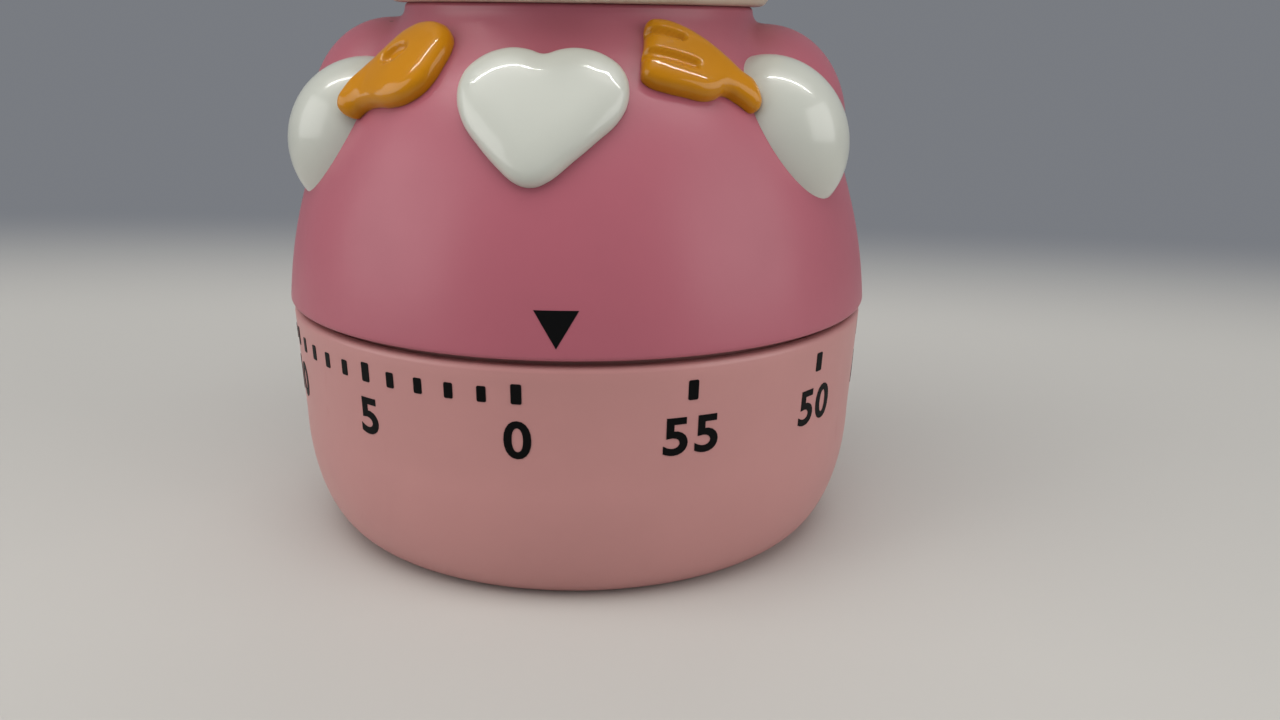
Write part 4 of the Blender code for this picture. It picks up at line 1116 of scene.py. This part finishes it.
# degrees from the front, and level
HEART_PLACE, SPOON_PLACE, FORK_PLACE = (0.0, 47.3), (-37.0, 50.5), (33.0, 51.0)
HEART_OUTLINE = (
    (-0.35, 5.47), (-1.34, 5.95), (-3.3, 6.35), (-5.66, 5.81), (-7.63, 4.14), (-8.21, 1.99),
    (-7.52, -0.96), (-5.71, -3.61), (-3.79, -5.76), (-2.19, -7.09), (-0.71, -7.49), (0.77, -6.94),
    (2.86, -5.08), (4.97, -2.92), (6.87, -0.57), (7.54, 1.88), (6.83, 4.44), (4.76, 5.95),
    (2.41, 6.35), (0.63, 5.95),
)
SPOON_OUTLINE = (
    (4.1, 0.6), (3.8, 2.5), (2.9, 4.0), (0.9, 4.8), (-1.1, 4.6), (-2.8, 3.4), (-3.8, 1.7),
    (-4.7, 0.3), (-5.3, -0.9), (-5.6, -2.3), (-5.7, -3.6), (-5.8, -4.8), (-5.5, -5.8),
    (-4.6, -6.0), (-3.6, -5.1), (-1.9, -4.7), (0.3, -4.6), (2.2, -3.9), (3.6, -2.5), (4.1, -1.0),
)
FORK_OUTLINE = (
    (-2.3, 4.9), (-2.8, 4.2), (-3.1, 3.3), (-3.4, 2.6), (-3.7, 1.9), (-4.1, 1.2), (-4.4, 0.4),
    (-4.7, -0.4), (-4.9, -1.2), (-4.4, -2.0), (-3.2, -2.7), (-1.2, -3.4), (0.6, -3.9),
    (1.9, -3.75), (3.0, -3.3), (4.6, -4.1), (6.0, -4.9), (6.8, -4.2), (6.6, -1.8), (5.4, -0.9),
    (4.4, 0.4), (2.9, 2.2), (1.3, 3.7), (-0.6, 4.8),
)


def ease(value):
    """A soft step of a value kept between zero and one."""
    value = np.clip(value, 0.0, 1.0)
    return value * value * (3.0 - 2.0 * value)


def upper_share(points):
    """One on the upper face, fading to zero half a millimetre lower."""
    return np.clip(points[:, 2] / 0.5, 0.0, 1.0)


def groove(points, start, end, half_width, depth):
    """A rounded channel pressed in the upper face between two plan points."""
    start, end = np.array(start), np.array(end)
    along = end - start
    share = np.clip((points[:, :2] - start) @ along / (along @ along), 0.0, 1.0)
    away = np.linalg.norm(points[:, :2] - start - share[:, None] * along, axis=1)
    points[:, 2] -= ease((half_width - away) / (half_width * 0.5)) * depth * upper_share(points)
    return points


def pillow(points, outline, width, height):
    """Raise the upper face towards its middle, over a border of the given width."""
    corners = np.array(outline)
    share = np.linspace(0.0, 1.0, 12, endpoint=False)[:, None, None]
    edge = (corners + share * (np.roll(corners, -1, axis=0) - corners)).reshape(-1, 2)
    gap = np.linalg.norm(points[:, None, :2] - edge[None], axis=2).min(axis=1)
    inward = 1.0 - np.clip(gap / width, 0.0, 1.0)
    points[:, 2] += height * (1.0 - inward**2) * upper_share(points)
    return points


def no_rise(points, normals):
    return np.zeros(len(points))


class TIMER_OT_heart(Operator):
    """Make the raised heart on the chest"""

    bl_idname = "kitchen_timer.heart"
    bl_label = "Heart"

    def execute(self, context):
        rise, sink, crown = mm(settings().figure.heart_rise), 0.9, 0.6
        heart = flat_form("chest_heart", HEART_OUTLINE, rise - crown + sink,
                          edge=1.05, voxel=0.24, rounds=5)
        edit_points(heart, lambda points: pillow(points, HEART_OUTLINE, 3.4, crown))
        soften(heart, voxel=0.22, rounds=6)
        wrap_on_dome(heart, HEART_PLACE, sink, no_rise)
        place_piece(heart, "figure", "white_gloss", "White Gloss Paint", "heart")
        return {"FINISHED"}


class TIMER_OT_tools(Operator):
    """Make the raised spoon and fork held by the hands"""

    bl_idname = "kitchen_timer.tools"
    bl_label = "Spoon and Fork"

    def execute(self, context):
        rise, sink, crown = mm(settings().figure.tool_rise), 0.7, 0.35
        spoon = flat_form("chest_spoon", SPOON_OUTLINE, rise - crown + sink,
                          edge=0.85, voxel=0.2, rounds=4)

        def dish(points):
            """Crown the spoon and press a slanting dimple in its bowl."""
            turn, half_length, half_width, depth = math.radians(38.0), 1.5, 0.95, 0.6
            points = pillow(points, SPOON_OUTLINE, 2.0, crown)
            x, y = points[:, 0] + 1.2, points[:, 1] - 0.3
            along = (x * math.cos(turn) + y * math.sin(turn)) / half_length
            across = (-x * math.sin(turn) + y * math.cos(turn)) / half_width
            dimple = ease((1.15 - np.hypot(along, across)) / 0.45)
            points[:, 2] -= dimple * depth * upper_share(points)
            return points

        edit_points(spoon, dish)
        hand_side = hand_placing(-1.0)

        def over_hand(points, normals):
            """Height of the arm and of the hand on it, where the handle crosses them."""
            hand = rise_over(points, normals, HAND_HALF, hand_side)
            arm = arm_rise(points, normals)
            return arm + ridge(hand - arm, 1.3)

        wrap_on_dome(spoon, SPOON_PLACE, sink, over_hand)
        place_piece(spoon, "figure", "gold_paint", "Ochre Gloss Paint", "spoon")

        fork = flat_form("chest_fork", FORK_OUTLINE, rise - crown + sink,
                         edge=0.8, voxel=0.2, rounds=4)

        def tines(points):
            """Crown the fork and press the two gaps between its tines."""
            points = pillow(points, FORK_OUTLINE, 1.8, crown)
            points = groove(points, (-3.0, 3.3), (-0.2, 2.1), half_width=0.5, depth=0.6)
            return groove(points, (-4.3, 0.9), (0.0, -0.9), half_width=0.62, depth=0.5)

        edit_points(fork, tines)
        wrap_on_dome(fork, FORK_PLACE, sink, arm_rise)
        place_piece(fork, "figure", "gold_paint", "Ochre Gloss Paint", "fork")
        return {"FINISHED"}


class TIMER_OT_hands(Operator):
    """Make the two hands that grow out of the arms"""

    bl_idname = "kitchen_timer.hands"
    bl_label = "Hands"

    def execute(self, context):
        overlap = 0.4
        rings = raised_body(ring_points(body_side()[LIP_STEPS:], 160), overlap)
        top, foot = (np.zeros_like(rings[:1]) for _ in range(2))
        top[..., 2], foot[..., 2] = 56.0, 26.5
        for side, word in ((-1.0, "right"), (1.0, "left")):
            hand = ellipsoid(f"hand_{word}", HAND_HALF, hand_placing(side))
            core = surface("core", np.concatenate([top, rings, foot]), False)
            smooth(boolean(hand, core, "DIFFERENCE"))
            place_piece(hand, "figure", "white_gloss", "White Gloss Paint", f"{word}_hand")
        return {"FINISHED"}


# ---------------------------------------------------------------- head
HEAD_HALF = (25.5, 24.6, 20.0)
EAR_PLACE, EAR_LEAN = (17.8, 1.0, 86.0), math.radians(24.0)
SOCKET_RADIUS, SOCKET_LEVEL = 15.4, 52.5
MUZZLE_DEPTH = 4.6


def ear_placing(side):
    x, y, level = EAR_PLACE
    return (Matrix.Translation((side * x, y, level))
            @ Matrix.Rotation(side * EAR_LEAN, 4, "Y"))


def head_depth(x, z):
    """Y of the head's front at a place, following its squared curve."""
    sizes = settings().figure
    power = sizes.head_power
    wide, deep, tall = HEAD_HALF
    level = (abs(z - mm(sizes.head_centre)) / tall) ** power
    circle_share = max(0.0, 1.0 - level) ** (1.0 / power)
    share = max(0.0, 1.0 - (x / (wide * circle_share)) ** 2)
    return -deep * circle_share * math.sqrt(share)


class TIMER_OT_head(Operator):
    """Make the plain cub's head: skull, ears, muzzle, nose, mouth and eyes"""

    bl_idname = "kitchen_timer.head"
    bl_label = "Head"

    def execute(self, context):
        sizes = settings().figure
        centre, bottom = mm(sizes.head_centre), mm(sizes.head_bottom)
        power = sizes.head_power
        outline = [(0.0, centre + HEAD_HALF[2])]
        for index in range(1, 74):
            turn = math.radians(2.5 * index)
            level = centre + HEAD_HALF[2] * math.copysign(abs(math.cos(turn)) ** (2.0 / power),
                                                          math.cos(turn))
            radius = HEAD_HALF[0] * math.sin(turn) ** (2.0 / power)
            if level < bottom + 0.3:
                break
            outline.append((radius, level))
        edge = outline[-1][0]
        outline += arc((edge - 0.3, bottom + 0.3), 0.3, -40.0, -90.0, 3)
        outline += [(SOCKET_RADIUS, bottom), (SOCKET_RADIUS, SOCKET_LEVEL + 0.4),
                    (SOCKET_RADIUS - 0.4, SOCKET_LEVEL), (0.0, SOCKET_LEVEL)]
        rings = ring_points(outline, 128)
        rings[..., 1] *= np.where(rings[..., 2] > bottom + 0.01, HEAD_HALF[1] / HEAD_HALF[0], 1.0)
        skull = surface("skull", rings, False)
        ears = [ellipsoid("ear", (7.2, 3.4, 7.2), ear_placing(side), 48, 32)
                for side in (-1.0, 1.0)]
        head = soften(join("head_cub", [skull, *ears]), 0.42, 7)
        place_piece(head, "figure", "cream_plastic", "Cream Plastic", "head_shell")
        self.ears()
        self.face()
        return {"FINISHED"}

    @staticmethod
    def ears():
        for side, name in ((-1.0, "ear_inner_right"), (1.0, "ear_inner_left")):
            placing = ear_placing(side) @ Matrix.Translation((0.0, -2.55, 1.0))
            inner = ellipsoid(name, (4.4, 1.15, 4.5), placing, 40, 24)
            place_piece(inner, "figure", "cream_plastic", "Blush Plastic")

    @staticmethod
    def face():
        muzzle_low, muzzle_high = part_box("muzzle")
        half = Vector((muzzle_high - muzzle_low) / 2.0 / MM)
        level = node_centre("muzzle").z
        middle = mm(muzzle_low.y) + MUZZLE_DEPTH
        placing = Matrix.Translation((0.0, middle, level))
        muzzle = ellipsoid("muzzle_pad", (half.x, MUZZLE_DEPTH, half.z), placing)
        place_piece(muzzle, "figure", "cream_plastic", "Cream Plastic", "muzzle")
        nose_half = (2.4, 1.5, 1.7)
        nose_place = (0.0, mm(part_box("nose")[0].y) + nose_half[1], node_centre("nose").z)
        nose = ellipsoid("nose_bead", nose_half, Matrix.Translation(nose_place), 40, 26)
        place_piece(nose, "figure", "black_gloss", "Gloss Black Bead", "nose")
        for word in ("right", "left"):
            x, _, z = node_centre(f"{word}_eye")
            placing = Matrix.Translation((x, head_depth(x, z) + 0.1, z))
            eye = ellipsoid(f"eye_{word}", (1.7, 1.4, 2.1), placing, 40, 26)
            place_piece(eye, "figure", "black_gloss", "Gloss Black Bead", f"{word}_eye")
        TIMER_OT_head.mouth(level, middle, half)

    @staticmethod
    def mouth(level, middle, half):
        """Two drooping lines from below the nose, lying on the muzzle."""
        steps = 12
        curve = bpy.data.curves.new("mouth", "CURVE")
        curve.dimensions = "3D"
        curve.bevel_depth = 0.22
        curve.bevel_resolution = 4
        curve.use_fill_caps = True
        for side in (-1.0, 1.0):
            spline = curve.splines.new("POLY")
            spline.points.add(steps)
            for index, point in enumerate(spline.points):
                share = index / steps
                x = side * 2.3 * share
                z = level - 0.4 - 1.1 * math.sin(math.pi * (0.15 + 0.6 * share))
                inside = 1.0 - (x / half.x) ** 2 - ((z - level) / half.z) ** 2
                y = middle - MUZZLE_DEPTH * math.sqrt(max(0.0, inside))
                point.co = (x, y, z, 1.0)
        shape = curve_shape(curve)
        shape.transform(Matrix.Scale(MM, 4))
        mouth = smooth(from_bmesh("mouth_line", shape, 1e-8))
        place_piece(mouth, "figure", "black_gloss", "Gloss Black Bead")


# ---------------------------------------------------------------- fasteners
def screw_pattern(name, head_radius, head_height, shank_radius, reach):
    """A cross-recess pan-head screw standing on its head, shank upwards."""
    corner, pitch, root_share = 0.45, 0.42, 0.82
    outline = [(0.0, -0.12), (head_radius * 0.45, -0.08)]
    outline += arc((head_radius - corner, corner), corner, -90.0, 0.0, 5)
    outline += [(head_radius, head_height - 0.1), (head_radius - 0.1, head_height)]
    outline += [(shank_radius, head_height)]
    level = head_height + 0.5
    while level + pitch < head_height + reach - 0.4:
        outline += [(shank_radius * root_share, level), (shank_radius, level + pitch / 2.0)]
        level += pitch
    outline += [(shank_radius * root_share, level), (shank_radius * 0.5, head_height + reach),
                (0.0, head_height + reach)]
    screw = turned(name, outline, 32)
    for turn in (0.0, 90.0):
        shape = bmesh.new()
        bmesh.ops.create_cube(shape, size=1.0)
        size = Vector((head_radius * 1.15, head_radius * 0.24, 1.1)) * MM
        bmesh.ops.scale(shape, verts=shape.verts, vec=size)
        bmesh.ops.rotate(shape, verts=shape.verts,
                         matrix=Matrix.Rotation(math.radians(turn), 3, "Z"))
        boolean(screw, from_bmesh("recess", shape, 1e-7), "DIFFERENCE")
    return smooth(screw)


class TIMER_OT_screws(Operator):
    """Set the screws of the case, the plates, the bell and the drive plate"""

    bl_idname = "kitchen_timer.screws"
    bl_label = "Screws"

    def execute(self, context):
        # name, body, head upwards, head radius, head height, shank radius
        groups = (
            ("case_screw", "base", False, 2.0, 1.4, 0.9),
            ("plate_screw", "base", True, 2.0, 1.2, 0.9),
            ("bell_screw", "base", True, 1.2, 0.8, 0.6),
            ("drive_screw", "figure", False, 2.0, 1.2, 0.9),
        )
        for prefix, body, upside_down, head_radius, head_height, shank in groups:
            low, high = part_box(f"{prefix}_1")
            reach = mm(high.z - low.z) - head_height
            pattern = screw_pattern(prefix + "_pattern", head_radius, head_height, shank, reach)
            level = mm(high.z) if upside_down else mm(low.z)
            made = run_tree(prefix + "s", points_tree(), screw_places(prefix, level), {
                "Piece": pattern, "Material": finish("Plated Steel"),
                "Flip": math.pi if upside_down else 0.0, "Turn Step": 0.8})
            place_piece(smooth(made), body, "steel", "Plated Steel",
                        *(f"{prefix}_{index}" for index in (1, 2, 3)))
        return {"FINISHED"}


class TIMER_OT_movement(Operator):
    """Give the plates, wheels, springs and bell of the movement their finishes"""

    bl_idname = "kitchen_timer.movement"
    bl_label = "Movement Finishes"

    def execute(self, context):
        brass = ("second_wheel", "third_wheel", "escape_wheel", "main_wheel", "trip_cam",
                 "balance_wheel", "pallet_lever", "bell_nut")
        springs = ("mainspring", "hairspring", "hammer_spring")
        special = {**dict.fromkeys(brass, "Rolled Brass"),
                   **dict.fromkeys(springs, "Blued Spring Steel"),
                   "bell": "Bell Steel", "drive_plate": "Natural Nylon"}
        for name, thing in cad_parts.items():
            material = finish(special.get(name, "Plated Steel"))
            if thing.material_slots:
                for slot in thing.material_slots:
                    slot.material = material
            else:
                thing.data.materials.append(material)
        return {"FINISHED"}


# ---------------------------------------------------------------- stage
WARM = (1.0, 0.985, 0.955)
BACKDROP = (0.190, 0.200, 0.220)


def softbox(name, place, size, watts, mirrored=True, lighting=True):
    """A rectangular lamp aimed at the figure; it may show in gloss, light, or both."""
    light = bpy.data.lights.new(name, "AREA")
    light.shape = "RECTANGLE"
    light.size, light.size_y = size
    light.energy = watts
    light.color = WARM
    thing = to_object(name, light)
    back = (Vector(place) - Vector((0.0, 0.0, 0.03))).normalized()
    across = Vector((0.0, 0.0, 1.0)).cross(back).normalized()
    facing = Matrix((across, back.cross(across), back)).transposed().to_4x4()
    thing.matrix_world = Matrix.Translation(place) @ facing
    thing.visible_glossy = mirrored
    thing.visible_diffuse = lighting


class TIMER_OT_stage(Operator):
    """Set the pale floor, the soft lights and the camera"""

    bl_idname = "kitchen_timer.stage"
    bl_label = "Stage"

    def execute(self, context):
        sizes = settings().stage
        shape = bmesh.new()
        bmesh.ops.create_grid(shape, x_segments=1, y_segments=1, size=12.0)
        floor = from_bmesh("floor", shape)
        tone = tuple(settings().colours.floor)
        material, tree, shader, place = new_material("Pale Floor", tone)
        cloudy = remap(tree, noise(tree, place, 9.0, 4.0), 0.3, 0.7)
        feed(tree, shader, {
            "Base Color": mix_colours(tree, cloudy, tone, shade(tone, 0.985)),
            "Normal": bumped(tree, noise(tree, place, 1400.0, 2.0), 0.1, 0.05),
            "Roughness": 0.62, "Specular IOR Level": 0.3})
        self.fade_to_backdrop(tree, shader, place)
        floor.data.materials.append(material)
        self.lights(sizes)
        self.camera(sizes)
        return {"FINISHED"}

    @staticmethod
    def fade_to_backdrop(tree, shader, place):
        """Let the floor run out softly into the colour of the backdrop behind it."""
        oval = add(tree, "ShaderNodeVectorMath", {0: place, 1: (0.4, 1.0, 0.0)},
                   operation="MULTIPLY")
        reach = add(tree, "ShaderNodeVectorMath", {0: oval.outputs["Vector"]}, operation="LENGTH")
        fade_start, fade_end = 0.08, 0.205
        far = remap(tree, reach.outputs["Value"], fade_start, fade_end)
        backdrop = add(tree, "ShaderNodeEmission", {"Color": (*BACKDROP, 1.0)})
        blend = add(tree, "ShaderNodeMixShader", {
            "Fac": far, 1: shader.outputs["BSDF"], 2: backdrop.outputs["Emission"]})
        output = next(node for node in tree.nodes if node.type == "OUTPUT_MATERIAL")
        feed(tree, output, {"Surface": blend.outputs["Shader"]})

    @staticmethod
    def lights(sizes):
        world = bpy.data.worlds.new("Studio")
        world.use_nodes = True
        sky = world.node_tree.nodes["Background"]
        sky.inputs["Color"].default_value = (*BACKDROP, 1.0)
        sky.inputs["Strength"].default_value = 1.0
        bpy.context.scene.world = world
        side = sizes.side_power
        softbox("overhead_softbox", (-0.04, -0.20, 0.55), (0.60, 0.40), sizes.key_power,
                mirrored=False)
        softbox("tube_lamp", (0.0, -0.072, 0.50), (0.90, 0.018), sizes.tube_power,
                lighting=False)
        softbox("left_softbox", (-0.52, -0.22, 0.20), (0.52, 0.40), side)
        softbox("right_softbox", (0.54, -0.18, 0.20), (0.52, 0.40), side)
        softbox("back_softbox", (0.05, 0.60, 0.30), (0.50, 0.30), 0.6 * side, mirrored=False)

    @staticmethod
    def camera(sizes):
        camera = bpy.data.cameras.new("camera")
        camera.lens = sizes.camera_lens
        camera.sensor_width = 36.0
        camera.sensor_fit = "HORIZONTAL"
        camera.clip_start = 0.005
        camera.clip_end = 20.0
        thing = to_object("camera", camera)
        x, y = polar_front(sizes.camera_distance, sizes.camera_turn)
        heading = Matrix.Rotation(sizes.camera_turn - sizes.camera_yaw, 4, "Z")
        tip = Matrix.Rotation(math.pi / 2.0 - sizes.camera_pitch, 4, "X")
        roll = Matrix.Rotation(sizes.camera_roll, 4, "Z")
        thing.matrix_world = (Matrix.Translation((x, y, sizes.camera_level))
                              @ heading @ tip @ roll)
        bpy.context.scene.camera = thing
        bpy.context.scene.view_settings.view_transform = "Standard"


# ---------------------------------------------------------------- panel and run
OPERATORS = (TIMER_OT_stage, TIMER_OT_base, TIMER_OT_dial, TIMER_OT_body, TIMER_OT_heart,
             TIMER_OT_tools, TIMER_OT_hands, TIMER_OT_head, TIMER_OT_screws, TIMER_OT_movement)


class TIMER_PT_panel(Panel):
    """Lists the timer's settings and its operators"""

    bl_label = "Kitchen Timer"
    bl_idname = "TIMER_PT_panel"
    bl_space_type = "VIEW_3D"
    bl_region_type = "UI"
    bl_category = "Kitchen Timer"

    def draw(self, context):
        layout = self.layout
        for group in ("body", "base", "dial", "figure", "colours", "stage"):
            box = layout.box()
            box.label(text=group.title())
            values = getattr(context.scene.kitchen_timer, group)
            for key in values.bl_rna.properties.keys():
                if key not in ("rna_type", "name"):
                    box.prop(values, key)
        for operator in OPERATORS:
            layout.operator(operator.bl_idname)


CLASSES = (TimerBodySizes, TimerBaseSizes, TimerDialSizes, TimerFigureSizes, TimerColours,
           TimerStageSizes, TimerSettings, *OPERATORS, TIMER_PT_panel)


def register():
    for item in CLASSES:
        bpy.utils.register_class(item)
    bpy.types.Scene.kitchen_timer = PointerProperty(type=TimerSettings)


def unregister():
    del bpy.types.Scene.kitchen_timer
    for item in reversed(CLASSES):
        bpy.utils.unregister_class(item)


def main():
    register()
    for operator in OPERATORS:
        group, name = operator.bl_idname.split(".")
        getattr(getattr(bpy.ops, group), name)()


if __name__ == "__main__":
    main()
